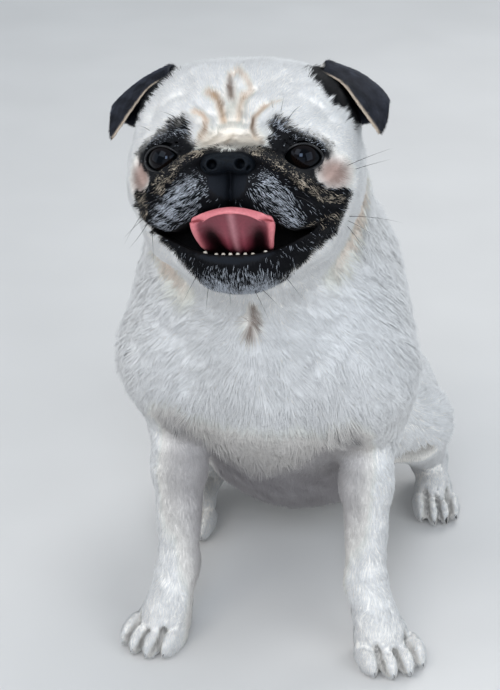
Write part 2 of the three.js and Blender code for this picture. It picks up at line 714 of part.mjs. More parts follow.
// An ear: a wall that rises from the skull, folds over a crease and hangs forward to a tip
const ear = {
  root: [[36, 57, -18], [48, 51, -36], [56, 34, -42], [57, 15, -30]],
  wall: [[41, 62, -22], [60, 58, -35], [72, 43, -37], [75, 26, -26]],
  crease: [[46, 65.5, -17], [64, 58.5, -24], [77, 49, -24], [84, 40, -18]],
  flap: [[47, 62, -9], [62, 53, -11], [74, 41, -9], [83, 30, -9]],
  rim: [[45, 58, -5], [57, 51, -1], [67, 38, 1], [81, 18, 2]],
  thickness: 3.2,
};
function earSolid(sign) {
  const guides = [ear.root, ear.wall, ear.crease, ear.flap, ear.rim];
  const placed = guides.map((guide) => guide.map(([x, y, z]) => [sign * x, y, z]));
  return sheetSolid(surfaceRows(placed, 9, 6), (down) => lerp(ear.thickness, 1.6, down ** 3));
}

// The tongue: up from behind the lower teeth and over the upper lip
const tongue = {
  path: [[-46, 8], [-47, 24], [-45, 38], [-39.5, 49], [-33, 57], [-27.5, 63], [-24, 67]],
  halfWidth: [14, 17, 19, 21, 23.5, 23.5, 21],
  middle: 2.5,
  curl: [0, 0, 0, -4, -2, 6, 11], // how far the edges lie behind the middle
  sag: [0, 0, 0, 0, 1, 3.5, 6.5], // how far the edges lie below the middle
  thickness: 6,
  across: 9,
  down: 11,
};
function tongueSolid(grow) {
  const rows = tongue.path.map(([y, z], i) => {
    const half = tongue.halfWidth[i] + grow;
    const isRoot = i === 0;
    const isTip = i === tongue.path.length - 1;
    const height = y + (isTip ? 1.5 * grow : 0);
    const front = z - (isRoot ? 3 * grow : 0);
    return Array.from({ length: tongue.across }, (_, j) => {
      const across = (2 * j) / (tongue.across - 1) - 1;
      const bend = (half * across) / tongue.halfWidth[i];
      const bent = bend * bend;
      return [tongue.middle + half * across, height - tongue.sag[i] * bent, front - tongue.curl[i] * bent];
    });
  });
  const thinned = (down, across) => (1 - 0.4 * Math.abs(2 * across - 1) ** 3) * (1 - 0.35 * down ** 4);
  const thickness = (down, across) => 2 * grow + tongue.thickness * thinned(down, across);
  return sheetSolid(surfaceRows(rows, tongue.down, tongue.across), thickness);
}

// The lower teeth: six small ones and an eye tooth at each side
const teeth = { count: 6, step: 4.1, height: 8, radius: 2.2, base: -55.5, front: 46.5, middle: 1 };
function teethSolids() {
  const made = [];
  for (let i = -1; i <= teeth.count; i++) {
    const isLong = i < 0 || i === teeth.count;
    const x = (i - (teeth.count - 1) / 2) * teeth.step * (isLong ? 1.18 : 1);
    const height = teeth.height * (isLong ? 1.15 : 1);
    const cone = new THREE.CylinderGeometry(0.8, teeth.radius, height, 5);
    cone.translate(teeth.middle + x, teeth.base + height / 2, teeth.front - 0.018 * x * x);
    made.push(solidFrom(cone, headMatrix));
  }
  return made;
}

// The opening of the mouth, and the block that holds the lower jaw below the line of the lips
function lipOutline(grow) {
  const side = mouth.side[mouth.side.length - 1];
  const steps = 14;
  const places = Array.from({ length: steps + 1 }, (_, i) => lerp(-side, side, i / steps));
  const upper = places.map((x) => [x, lipLine(x).upper + grow]);
  const lower = places.slice(1, -1).reverse().map((x) => [x, lipLine(x).lower - grow]);
  return [...upper, ...lower];
}
function jawOutline(grow) {
  const side = mouth.side[mouth.side.length - 1];
  const steps = 14;
  const places = Array.from({ length: steps + 1 }, (_, i) => lerp(side, -side, i / steps));
  const line = places.map((x) => [x, lipLine(x).middle + grow]);
  const edge = side + 6 + grow;
  return [...line, [-edge, -36], [-edge, -110], [edge, -110], [edge, -36]];
}

const opening = headPrism(lipOutline(0), mouth.back, 110);
const jawSpace = headPrism(jawOutline(gap / 2), mouth.back - 6 - gap / 2, 110);
const jawBlock = headPrism(jawOutline(-gap / 2), mouth.back - 6 + gap / 2, 110);
const tongueSpace = tongueSolid(2 * gap);

let jaw = headWhole.intersect(jawBlock).subtract(opening);
for (const tooth of teethSolids()) jaw = jaw.add(tooth);
pieces.set("lower_jaw", largestPart(jaw.subtract(tongueSpace)));
pieces.set("tongue", tongueSolid(0));
pieces.set("nose", largestPart(noseSolid(0)));

let headPiece = headWhole.subtract(jawSpace).subtract(opening).subtract(tongueSpace);
headPiece = headPiece.subtract(noseSolid(gap));
for (const [side, sign] of [["left", 1], ["right", -1]]) {
  const ball = new THREE.SphereGeometry(eyeRadius, 14, 10);
  const socket = new THREE.SphereGeometry(eyeRadius + gap, 14, 10);
  pieces.set("eye_" + side, solidFrom(ball, eyeMatrix(sign)));
  headPiece = headPiece.subtract(solidFrom(socket, eyeMatrix(sign))).subtract(lidOpening(sign));
}
pieces.set("head", largestPart(headPiece));

const headGrown = solidFrom(headSurface(2 * gap), headMatrix);
pieces.set("ear_left", largestPart(earSolid(1).subtract(headGrown)));
pieces.set("ear_right", largestPart(earSolid(-1).subtract(headGrown)));

// The tail: a tapered roll wound on the rump
function tailSolid() {
  const { steps, sides } = tail;
  const positions = [];
  const faces = [];
  const path = new THREE.CatmullRomCurve3(tailPath());
  const frames = path.computeFrenetFrames(steps, false);
  for (let i = 0; i <= steps; i++) {
    const t = i / steps;
    const centre = path.getPointAt(t);
    const rounded = Math.min(1, 3.4 * Math.sqrt(1.02 - t)); // the tip is a rounded end
    const radius = lerp(...tail.radii, t) * rounded;
    for (let j = 0; j < sides; j++) {
      const angle = (2 * Math.PI * j) / sides;
      const out = frames.normals[i].clone().multiplyScalar(Math.cos(angle));
      out.addScaledVector(frames.binormals[i], Math.sin(angle));
      positions.push(...centre.clone().addScaledVector(out, radius).toArray());
    }
  }
  const ring = (i, j) => i * sides + (j % sides);
  for (let i = 0; i < steps; i++)
    for (let j = 0; j < sides; j++)
      faces.push(ring(i, j), ring(i, j + 1), ring(i + 1, j + 1), ring(i, j), ring(i + 1, j + 1), ring(i + 1, j));
  for (const [i, turned] of [[0, true], [steps, false]]) {
    const middle = positions.length / 3;
    positions.push(...path.getPointAt(i / steps).toArray());
    for (let j = 0; j < sides; j++) {
      const edge = [ring(i, j), ring(i, j + 1)];
      faces.push(middle, ...(turned ? edge.reverse() : edge));
    }
  }
  const geometry = new THREE.BufferGeometry();
  geometry.setAttribute("position", new THREE.Float32BufferAttribute(positions, 3));
  geometry.setIndex(faces);
  if (signedVolume(positions, faces) < 0) geometry.setIndex(faces.slice().reverse());
  return solidFrom(geometry);
}
function tailPath() {
  const [x, y, z] = tail.centre;
  const points = [new THREE.Vector3(...tail.root)];
  const count = 12;
  for (let i = 0; i <= count; i++) {
    const t = i / count;
    const angle = radians(tail.start + 360 * tail.turns * t);
    const reach = tail.ring * lerp(...tail.reach, t);
    const across = x + tail.drift * t;
    points.push(new THREE.Vector3(across, y + reach * Math.cos(angle), z + reach * Math.sin(angle)));
  }
  return points;
}
pieces.set("tail", largestPart(tailSolid().subtract(trunkSolid(2 * gap))));

// One mesh for each piece, in the colours of the coat
const colours = {
  cream: 0xe6dccb,
  black: 0x1d1b1c,
  nose: 0x101012,
  eye: 0x0c0a0a,
  tongue: 0xc2626a,
};
function colourOf(name) {
  if (name.startsWith("ear") || name === "lower_jaw") return colours.black;
  if (name.startsWith("eye")) return colours.eye;
  return colours[name] ?? colours.cream;
}

const pug = new THREE.Group();
for (const [name, solid] of pieces) {
  const { numProp, vertProperties, triVerts } = solid.getMesh();
  const geometry = new THREE.BufferGeometry();
  const positions = new Float32Array((vertProperties.length / numProp) * 3);
  for (let i = 0; i < positions.length / 3; i++)
    positions.set(vertProperties.subarray(i * numProp, i * numProp + 3), i * 3);
  geometry.setAttribute("position", new THREE.BufferAttribute(positions, 3));
  geometry.setIndex(new THREE.BufferAttribute(new Uint32Array(triVerts), 1));
  geometry.computeVertexNormals();
  const shiny = name.startsWith("eye") || name === "nose" || name === "tongue";
  const material = new THREE.MeshStandardMaterial({
    color: colourOf(name),
    roughness: shiny ? 0.3 : 0.85,
    metalness: 0,
  });
  const mesh = new THREE.Mesh(geometry, material);
  mesh.name = name;
  mesh.position.set(-originShift.x, -originShift.y, 0);
  pug.add(mesh);
}

export default pug;
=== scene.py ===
# The looks of the sitting pug: skin, coat, eyes, nose, tongue, ears, claws and whiskers.
# The forms are worked out in millimetres from between the front feet, and meshes are made in metres.
import math

import bpy
import numpy as np
from mathutils import Matrix, Vector


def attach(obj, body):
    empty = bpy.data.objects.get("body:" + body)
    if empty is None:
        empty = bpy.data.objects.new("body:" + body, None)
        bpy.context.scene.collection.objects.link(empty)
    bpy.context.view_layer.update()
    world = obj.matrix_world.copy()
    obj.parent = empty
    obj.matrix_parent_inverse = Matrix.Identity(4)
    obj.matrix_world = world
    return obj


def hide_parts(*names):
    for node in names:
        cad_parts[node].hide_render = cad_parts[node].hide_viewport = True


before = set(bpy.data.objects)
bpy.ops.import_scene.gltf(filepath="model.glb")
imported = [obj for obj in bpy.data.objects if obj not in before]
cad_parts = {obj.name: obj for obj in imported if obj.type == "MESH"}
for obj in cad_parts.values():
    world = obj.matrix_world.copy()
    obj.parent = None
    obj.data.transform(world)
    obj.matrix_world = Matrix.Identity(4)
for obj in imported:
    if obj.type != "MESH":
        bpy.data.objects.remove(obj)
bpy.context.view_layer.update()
draw = np.random.default_rng(41)

originShift = np.array([3.5, 88.5, 0.0])  # from between the front feet to the frame's origin


def toMetres(points):
    return (np.asarray(points, float) - originShift) / 1000


def smoothStep(value, low, high):
    t = np.clip((value - low) / (high - low), 0, 1)
    return t * t * (3 - 2 * t)


def fadeOut(value, low, high):
    return 1 - smoothStep(value, low, high)


def bell(distance, width):
    return np.exp(-((distance / width) ** 2))


def unit(vectors):
    return vectors / np.maximum(np.linalg.norm(vectors, axis=-1, keepdims=True), 1e-9)


def turnAbout(axis, degrees):
    return np.array(Matrix.Rotation(math.radians(degrees), 3, axis))


# The head's own frame: x to the dog's left, y up, z to the front
headPlace = {"centre": (-2, -45, 358), "pitch": 24, "yaw": 2, "roll": 4.5, "soft": 24}
headCentre = np.array(headPlace["centre"], float)
headTurn = (
    turnAbout("Z", headPlace["yaw"])
    @ turnAbout("X", -headPlace["pitch"])
    @ turnAbout("Y", -headPlace["roll"])
    @ turnAbout("X", 90)
)


def toHead(points):
    return (points - headCentre) @ headTurn


def fromHead(points):
    return np.asarray(points, float) @ headTurn.T + headCentre


# Fields: below zero inside a form, and about the distance to its surface outside it
def eggField(p, at, half):
    d = (p - np.array(at, np.float32)) / np.array(half, np.float32)
    a = np.sqrt((d * d).sum(-1))
    d = d / np.array(half, np.float32)
    b = np.sqrt((d * d).sum(-1))
    return a * (a - 1) / np.maximum(b, 1e-6)


def boxyEggField(p, at, half, power):
    d = p - np.array(at, np.float32)
    reach = np.maximum((np.abs(d / np.array(half, np.float32)) ** power).sum(-1) ** (1 / power), 1e-6)
    return np.sqrt((d * d).sum(-1)) * (1 - 1 / reach)


def limbField(p, a, b, radiusA, radiusB):
    a = np.array(a, np.float32)
    axis = np.array(b, np.float32) - a
    d = p - a
    t = np.clip(d @ axis / (axis @ axis), 0, 1)
    d = d - t[:, None] * axis
    return np.sqrt((d * d).sum(-1)) - (radiusA + (radiusB - radiusA) * t)


def join(a, b, soft):
    h = np.maximum(soft - np.abs(a - b), 0) / soft
    return np.minimum(a, b) - h * h * soft / 4


def carve(field, tool, soft):
    return -join(-field, tool, soft)


def lineDistance(x, y, line):
    nearest = np.full(x.shape, 1e6, np.float32)
    for (ax, ay), (bx, by) in zip(line, line[1:]):
        length2 = (bx - ax) ** 2 + (by - ay) ** 2
        t = np.clip(((x - ax) * (bx - ax) + (y - ay) * (by - ay)) / length2, 0, 1)
        nearest = np.minimum(nearest, np.hypot(x - ax - (bx - ax) * t, y - ay - (by - ay) * t))
    return nearest


# Slow swells through space, for clumps of hair and uneven tone
def swell(points, wavelength, seed):
    own = np.random.default_rng(seed)
    total = np.zeros(len(points))
    for _ in range(7):
        way = unit(own.normal(size=3)) * 2 * math.pi / (wavelength * own.uniform(0.7, 1.4))
        total += np.sin(points @ way + own.uniform(0, 6.3))
    return total / 2.2


# Forms of the head, mirrored to both sides
eyeball = {"centre": (38.5, 5.4, 36), "radius": 12.5, "outward": 13, "upward": 3}
lids = {"thickness": 2.4, "width": 11.2, "height": 7.6, "drop": -0.9}
skull = {"at": (0, 18, -12), "half": (66, 50, 50), "power": 2.6}
headForms = [
    ((36, -7, 2), (33, 36, 44), 16),  # cheek: middle, half sizes, how softly it joins
    ((24, 31, 26), (22, 15, 17), 10),  # brow
    ((0, 6, 30), (24, 24, 22), 10),  # bridge of the nose
    ((19, -12, 41), (24, 21, 23), 7),  # pad of the muzzle
    ((34, -22, 34), (20, 20, 24), 8),  # flew
    ((0, -50, 22), (34, 22, 29), 8),  # chin
    ((30, -36, 8), (27, 22, 30), 12),  # side of the jaw
    ((46, 54, -30), (16, 10, 15), 10),  # root of the ear
]

# Folds of the face: line seen from the front, height or depth, width, and whether it stands on both sides
folds = {
    "overNose": (((0, 10), (17, 7), (28, 2), (36, -3), (43, -11)), 8.2, 5.5, True),
    "behindThat": (((0, 19), (14, 17), (26, 7), (33, -2)), -3.2, 3.2, True),
    "underThat": (((12, 1), (20, -1), (28, -5), (36, -10), (43, -18)), -3.0, 2.0, True),
    "underNose": (((0, -4), (0, -22)), -2.4, 1.5, True),
    "innerBrow": (((25, 33), (15, 27), (13, 19), (19, 14)), 3.2, 4, True),
    "besideInnerBrow": (((19, 35), (11, 29), (9, 20), (13, 14)), -2.2, 2, True),
    "veeLeft": (((6, 25), (5, 38), (11, 44)), -2.6, 2, True),
    "slit": (((-1, 36), (-2, 54)), -2.6, 1.8, False),
    "acrossBrow": (((-7, 26), (7, 26)), -2, 2.5, False),
    "underEye": (((30, -9), (42, -12), (52, -6), (58, 4)), -1.8, 2.4, True),
    "overBrow": (((30, 42), (45, 36), (56, 24)), -1.8, 3.5, True),
    "cheek": (((50, -14), (58, -8), (63, 2)), -1.6, 3, True),
    "besideLip": (((40, -18), (50, -22), (57, -20)), -1.6, 3, True),
}
mouth = {
    "side": (0, 12, 24, 34, 44, 53),
    "upper": (-23, -25, -31, -36, -34, -28.5),
    "lower": (-49.5, -49.2, -46.5, -42, -37, -28.5),
    "back": 14,
    "floor": 4,  # how far the floor of the mouth lies below the lip
}


def mouthField(p):
    across = np.abs(p[:, 0])
    upper = np.interp(across, mouth["side"], mouth["upper"])
    lower = np.interp(across, mouth["side"], mouth["lower"])
    lower = lower - mouth["floor"] * (1 - smoothStep(p[:, 2] + 0.018 * across**2, 41, 45))
    field = np.maximum(p[:, 1] - upper, lower - p[:, 1])
    field = np.maximum(field, across - mouth["side"][-1])
    return np.maximum(field, mouth["back"] - p[:, 2])


def eyeTurn(sign):
    return turnAbout("Y", sign * eyeball["outward"]) @ turnAbout("X", -eyeball["upward"])


def toEye(p, sign):
    centre = np.array(eyeball["centre"], float) * (sign, 1, 1)
    return (p - centre) @ eyeTurn(sign)


def lidShape(angle):
    x = lids["width"] * np.cos(angle)
    y = lids["height"] * np.sin(angle) * (1 - 0.18 * np.cos(angle) ** 2) + lids["drop"]
    return x, y


def eyeOpening(p):
    opening = np.full(len(p), 1e6, np.float32)
    for sign in (1, -1):
        q = toEye(p, sign)
        x = q[:, 0] / lids["width"]
        y = (q[:, 1] - lids["drop"]) / (lids["height"] * (1 - 0.18 * np.clip(x, -1, 1) ** 2))
        away = (np.hypot(x, y) - 1) * lids["height"]
        opening = np.minimum(opening, np.maximum(away, -q[:, 2]))
    return opening


noseForms = [((0, 2.4, 58), (14.5, 5.8, 10)), ((8.4, 0.6, 60), (6.8, 5.6, 8.6))]
noseSoft = 3


def noseBulk(p):
    q = np.abs(p * (1, 0, 0)) + p * (0, 1, 1)
    return join(eggField(q, *noseForms[0]), eggField(q, *noseForms[1]), noseSoft)


def headField(p):
    q = p.copy()
    q[:, 0] = np.abs(q[:, 0])
    field = boxyEggField(q, skull["at"], skull["half"], skull["power"])
    for at, half, soft in headForms:
        field = join(field, eggField(q, at, half), soft)
    d = q - np.array(eyeball["centre"], np.float32)
    field = join(field, np.sqrt((d * d).sum(-1)) - eyeball["radius"] - lids["thickness"], 4)
    front = smoothStep(p[:, 2], 8, 26)
    near = (front > 0) & (np.abs(field) < 14)
    for line, rise, width, both in folds.values():
        x = q[near, 0] if both else p[near, 0]
        away = lineDistance(x, p[near, 1], line) / width
        field[near] -= front[near] * rise * np.exp(-away * away)
    return field


# Forms of the trunk and legs
ribs = {"at": (0, 80, 182), "half": (90, 122, 86), "rise": 50}
trunkForms = [
    ((0, 138, 110), (79, 80, 75), 30),  # belly
    ((0, 213, 83), (68, 68, 86), 30),  # rump
    ((0, 12, 214), (60, 44, 64), 26),  # front of the chest
    ((60, 24, 213), (32.5, 50, 58), 22),  # shoulder
]
back = {"ends": ((0, 96, 236), (0, 206, 110)), "radii": (68, 60), "soft": 30}
neck = {"ends": ((-9, 54, 260), (-7, 8, 331)), "radii": (78, 70), "soft": 30}
neckFold = {"away": -62, "lean": 0.1, "depth": 2.6, "width": 10}
legs = [
    {
        "name": "frontLeft",
        "joints": ((66, 10, 205), (63, 38, 152), (66, 20, 118), (69, 10, 50)),
        "radii": (29, 23, 18.5, 13.5),
        "paw": {"heel": (74, 15), "turn": 31, "length": 50, "width": 46, "instep": (-3.5, 17)},
    },
    {
        "name": "frontRight",
        "joints": ((-66, 10, 205), (-64, 38, 152), (-61.5, 20, 118), (-60, 8, 48)),
        "radii": (30, 25, 20, 13.8),
        "paw": {"heel": (-62, 8), "turn": -16, "length": 50, "width": 42, "instep": (3.5, 17)},
    },
    {
        "name": "hindLeft",
        "joints": ((47, 214, 82), (78, 152, 98), (83, 238, 22)),
        "radii": (46, 30, 13),
        "paw": {"heel": (86.5, 215), "turn": 18, "length": 46, "width": 34, "instep": (0, 12.5)},
        "crease": ((66, 118, 75), (91, 129, 85)),
    },
    {
        "name": "hindRight",
        "joints": ((-47, 208, 84), (-76, 126, 100), (-79, 198, 22)),
        "radii": (46, 30, 14),
        "paw": {"heel": (-80, 160), "turn": -4, "length": 52, "width": 38, "instep": (0, 14)},
        "crease": ((-73, 93, 86), (-97, 107, 97)),
    },
]
legJoins = {  # heights between which a leg melts into the trunk, and how softly it joins below and above
    "front": {"heights": (105, 175), "soft": (4, 26)},
    "hind": {"heights": (40, 110), "soft": (5, 22)},
}
crease = {"radii": (8, 5), "soft": 6}
toes = {"spread": (-1.5, -0.52, 0.52, 1.5), "lead": (0.62, 0.74, 0.74, 0.62), "step": 0.25}
toeForm = {"height": 7.8, "half": (0.148, 0.34, 11), "soft": 2}
pad = {"lead": 0.4, "height": 10, "half": (0.39, 0.42, 16)}
ankle = {"lead": 0.38, "height": 20, "soft": 9}
slits = {"spread": (-1.02, 0, 1.02), "lead": (0.56, 1.02), "height": (20, 6), "radius": 0.9, "soft": 2.5}
tail = {
    "root": (0, 236, 128),
    "centre": (4, 258, 172),
    "ring": 24,
    "reach": (1.12, 0.72),  # share of the ring at the root and at the tip
    "radii": (17, 9),
    "start": -55,
    "turns": 1.1,
    "drift": 26,
    "lengths": 30,
    "soft": 5,
}


def trunkField(p):
    q = p.copy()
    q[:, 0] = np.abs(q[:, 0])
    d = q - np.array(ribs["at"], np.float32)
    slope = math.radians(ribs["rise"])
    along = -d[:, 1] * math.cos(slope) + d[:, 2] * math.sin(slope)
    across = d[:, 1] * math.sin(slope) + d[:, 2] * math.cos(slope)
    field = eggField(np.stack([d[:, 0], along, across], -1), (0, 0, 0), ribs["half"])
    for at, half, soft in trunkForms:
        field = join(field, eggField(q, at, half), soft)
    field = join(field, limbField(q, *back["ends"], *back["radii"]), back["soft"])
    return join(field, limbField(p, *neck["ends"], *neck["radii"]), neck["soft"])


def pawWays(paw):
    angle = math.radians(paw["turn"])
    across = np.array([math.cos(angle), math.sin(angle), 0])
    ahead = np.array([math.sin(angle), -math.cos(angle), 0])
    return across, ahead


def pawPoint(paw, across, ahead, up):
    acrossWay, aheadWay = pawWays(paw)
    return np.array([*paw["heel"], up]) + acrossWay * across + aheadWay * ahead


def toPaw(p, paw):
    d = p - np.array([*paw["heel"], 0])
    across, ahead = pawWays(paw)
    return np.stack([d @ across, d @ ahead, p[:, 2]], -1)


def pawField(p, leg):
    paw = leg["paw"]
    share = np.array([paw["width"], paw["length"], 1])
    q = toPaw(p, paw)
    aside, thick = paw["instep"]
    instep = pawPoint(paw, aside, paw["length"] * ankle["lead"], ankle["height"])
    field = eggField(q, share * (0, pad["lead"], pad["height"]), share * pad["half"])
    shin = limbField(p, leg["joints"][-1], instep, leg["radii"][-1], thick)
    field = join(field, shin, ankle["soft"])
    for spread, lead in zip(toes["spread"], toes["lead"]):
        at = share * (spread * toes["step"], lead, toeForm["height"])
        field = join(field, eggField(q, at, share * toeForm["half"]), toeForm["soft"])
    return carve(field, slitField(q, paw), slits["soft"])


# The slits between the toes, in the paw's own directions
def slitField(q, paw):
    share = np.array([paw["width"], paw["length"], 1])
    field = np.full(len(q), 1e6)
    for spread in slits["spread"]:
        ends = [share * (spread * toes["step"] * wide, lead, height)
                for wide, lead, height in zip((0.85, 1.05), slits["lead"], slits["height"])]
        field = np.minimum(field, limbField(q, *ends, slits["radius"], slits["radius"] * 1.2))
    return field


def legField(p, leg):
    field = np.full(len(p), 1e6, np.float32)
    stages = list(zip(leg["joints"], leg["radii"]))
    for (a, radiusA), (b, radiusB) in zip(stages, stages[1:]):
        field = join(field, limbField(p, a, b, radiusA, radiusB), 9)
    low = p[:, 2] < 90
    field[low] = join(field[low], pawField(p[low], leg), 9)
    return field


def tailPath():
    points = [tail["root"]]
    x, y, z = tail["centre"]
    first, last = tail["reach"]
    for i in range(tail["lengths"] + 1):
        t = i / tail["lengths"]
        angle = math.radians(tail["start"] + 360 * tail["turns"] * t)
        reach = tail["ring"] * (first + (last - first) * t)
        points.append((x + tail["drift"] * t, y + reach * math.cos(angle), z + reach * math.sin(angle)))
    return np.array(points)


def tailField(p):
    path = tailPath()
    radii = np.linspace(*tail["radii"], len(path))
    field = np.full(len(p), 1e6, np.float32)
    for i in range(len(path) - 1):
        field = np.minimum(field, limbField(p, path[i], path[i + 1], radii[i], radii[i + 1]))
    return field


# The fold before a thigh
def creaseField(p, leg):
    return limbField(p, *leg["crease"], *crease["radii"])


# The whole dog without ears, eyes, nose leather and tongue
def dogField(p):
    x, y, z = p.T
    field = trunkField(p)
    for leg in legs:
        isFront = leg["name"].startswith("front")
        zone = (y < 130) & (z < 260) if isFront else (y > 30) & (z < 230)
        zone &= (x > -45) if leg["name"].endswith("Left") else (x < 45)
        melt = legJoins["front" if isFront else "hind"]
        below, above = melt["soft"]
        soft = below + (above - below) * smoothStep(z[zone], *melt["heights"])
        field[zone] = join(field[zone], legField(p[zone], leg), soft)
        if "crease" in leg:
            field[zone] = carve(field[zone], creaseField(p[zone], leg), crease["soft"])
    zone = (y > 200) & (z > 90) & (z < 230)
    field[zone] = join(field[zone], tailField(p[zone]), tail["soft"])
    zone = (z > 190) & (y < 80)
    local = toHead(p[zone]).astype(np.float32)
    headed = join(field[zone], headField(local), headPlace["soft"])
    fromFold = local[:, 2] - neckFold["away"] + local[:, 1] * neckFold["lean"]
    headed += neckFold["depth"] * bell(fromFold, neckFold["width"]) * smoothStep(headed + 30, 10, 28)
    field[zone] = headed
    return field


print("forms ready")


# Places along one axis of a grid, finer between two places than outside them
def gridLine(coarse, fine, low, high, fineFrom, fineTo):
    places = [low]
    while places[-1] < high:
        isFine = fineFrom <= places[-1] < fineTo
        places.append(places[-1] + (fine if isFine else coarse))
    return np.array(places)


# The surface where a field is zero: one point in each grid cell that it crosses, joined by quads
def fieldSurface(field, xs, ys, zs):
    corners = np.stack(np.meshgrid(xs, ys, zs, indexing="ij"), -1).reshape(-1, 3).astype(np.float32)
    shape = (len(xs), len(ys), len(zs))
    values = field(corners).reshape(shape)
    inside = values < 0
    corner = [(i, j, k) for i in (0, 1) for j in (0, 1) for k in (0, 1)]

    def shifted(array, by):
        return array[tuple(slice(b, n - 1 + b) for b, n in zip(by, shape))]

    count = sum(shifted(inside, c).astype(np.int8) for c in corner)
    cells = np.argwhere((count > 0) & (count < 8))
    total = np.zeros((len(cells), 3))
    crossings = np.zeros(len(cells))
    lines = (xs, ys, zs)
    for a in corner:
        for axis in range(3):
            if a[axis]:
                continue
            b = tuple(c + (n == axis) for n, c in enumerate(a))
            atA = tuple((cells + a).T)
            atB = tuple((cells + b).T)
            va, vb = values[atA], values[atB]
            crossed = (va < 0) != (vb < 0)
            t = np.where(crossed, va / np.where(crossed, va - vb, 1), 0)
            for n in range(3):
                low, high = lines[n][atA[n]], lines[n][atB[n]]
                total[:, n] += np.where(crossed, low + (high - low) * t, 0)
            crossings += crossed
    points = total / crossings[:, None]
    number = np.full(tuple(n - 1 for n in shape), -1, np.int32)
    number[tuple(cells.T)] = np.arange(len(cells))
    quads = []
    for axis in range(3):
        u, v = (axis + 1) % 3, (axis + 2) % 3
        before = np.take(inside, range(shape[axis] - 1), axis)
        after = np.take(inside, range(1, shape[axis]), axis)
        edges = np.argwhere(before != after)
        edges = edges[(edges[:, u] > 0) & (edges[:, v] > 0)]
        edges = edges[(edges[:, u] < shape[u] - 1) & (edges[:, v] < shape[v] - 1)]
        around = []
        for du, dv in ((1, 1), (0, 1), (0, 0), (1, 0)):
            cell = edges.copy()
            cell[:, u] -= du
            cell[:, v] -= dv
            around.append(number[tuple(cell.T)])
        quad = np.stack(around, -1)
        goesOut = before[tuple(edges.T)]
        quad[~goesOut] = quad[~goesOut][:, ::-1]
        quads.append(quad)
    return settle(field, points), np.concatenate(quads)


def slopeOf(field, points, step=0.4):
    slope = np.empty(points.shape)
    for axis in range(3):
        by = np.zeros(3)
        by[axis] = step
        ahead = field((points + by).astype(np.float32))
        behind = field((points - by).astype(np.float32))
        slope[:, axis] = (ahead - behind) / (2 * step)
    return slope


def settle(field, points, rounds=2, limit=0.7):
    for _ in range(rounds):
        slope = slopeOf(field, points)
        steep = np.maximum(np.linalg.norm(slope, axis=1), 0.4)
        move = np.clip(-field(points.astype(np.float32)) / steep, -limit, limit)
        points = points + (move / steep)[:, None] * slope
    return points


def triangles(quads):
    return np.concatenate([quads[:, [0, 1, 2]], quads[:, [0, 2, 3]]])


def pointNormals(points, tris):
    cross = np.cross(points[tris[:, 1]] - points[tris[:, 0]], points[tris[:, 2]] - points[tris[:, 0]])
    normals = np.zeros(points.shape)
    for n in range(3):
        for axis in range(3):
            normals[:, axis] += np.bincount(tris[:, n], cross[:, axis], len(points))
    return unit(normals)


# A mesh object from points in millimetres and faces that all have as many corners
def makeMesh(name, points, faces):
    mesh = bpy.data.meshes.new(name)
    sides = faces.shape[1]
    mesh.vertices.add(len(points))
    mesh.vertices.foreach_set("co", toMetres(points).astype(np.float32).ravel())
    mesh.loops.add(faces.size)
    mesh.loops.foreach_set("vertex_index", faces.astype(np.int32).ravel())
    mesh.polygons.add(len(faces))
    mesh.polygons.foreach_set("loop_start", np.arange(0, faces.size, sides, dtype=np.int32))
    mesh.polygons.foreach_set("use_smooth", np.full(len(faces), True))
    mesh.update(calc_edges=True)
    piece = bpy.data.objects.new(name, mesh)
    bpy.context.scene.collection.objects.link(piece)
    return piece


def setColours(piece, name, colours):
    layer = piece.data.attributes.new(name, "FLOAT_COLOR", "POINT")
    full = np.ones((len(colours), 4), np.float32)
    full[:, :3] = colours
    layer.data.foreach_set("color", full.ravel())


def setValues(piece, name, values):
    layer = piece.data.attributes.new(name, "FLOAT", "POINT")
    layer.data.foreach_set("value", np.asarray(values, np.float32))


def place(piece, material, slot, *nodes):
    piece.data.materials.append(material)
    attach(piece, "root")
    if nodes:
        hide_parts(*nodes)
    return piece


# A socket that can stand in a sum; each operator adds its Math node
class Wire:
    def __init__(self, finish, socket):
        self.finish = finish
        self.socket = socket

    def math(self, kind, a, b):
        return self.finish.node("ShaderNodeMath", {"operation": kind}, {0: a, 1: b})

    def __add__(self, other):
        return self.math("ADD", self, other)

    def __sub__(self, other):
        return self.math("SUBTRACT", self, other)

    def __mul__(self, other):
        return self.math("MULTIPLY", self, other)

    def __radd__(self, other):
        return self.math("ADD", other, self)

    def __rsub__(self, other):
        return self.math("SUBTRACT", other, self)

    def __rmul__(self, other):
        return self.math("MULTIPLY", other, self)


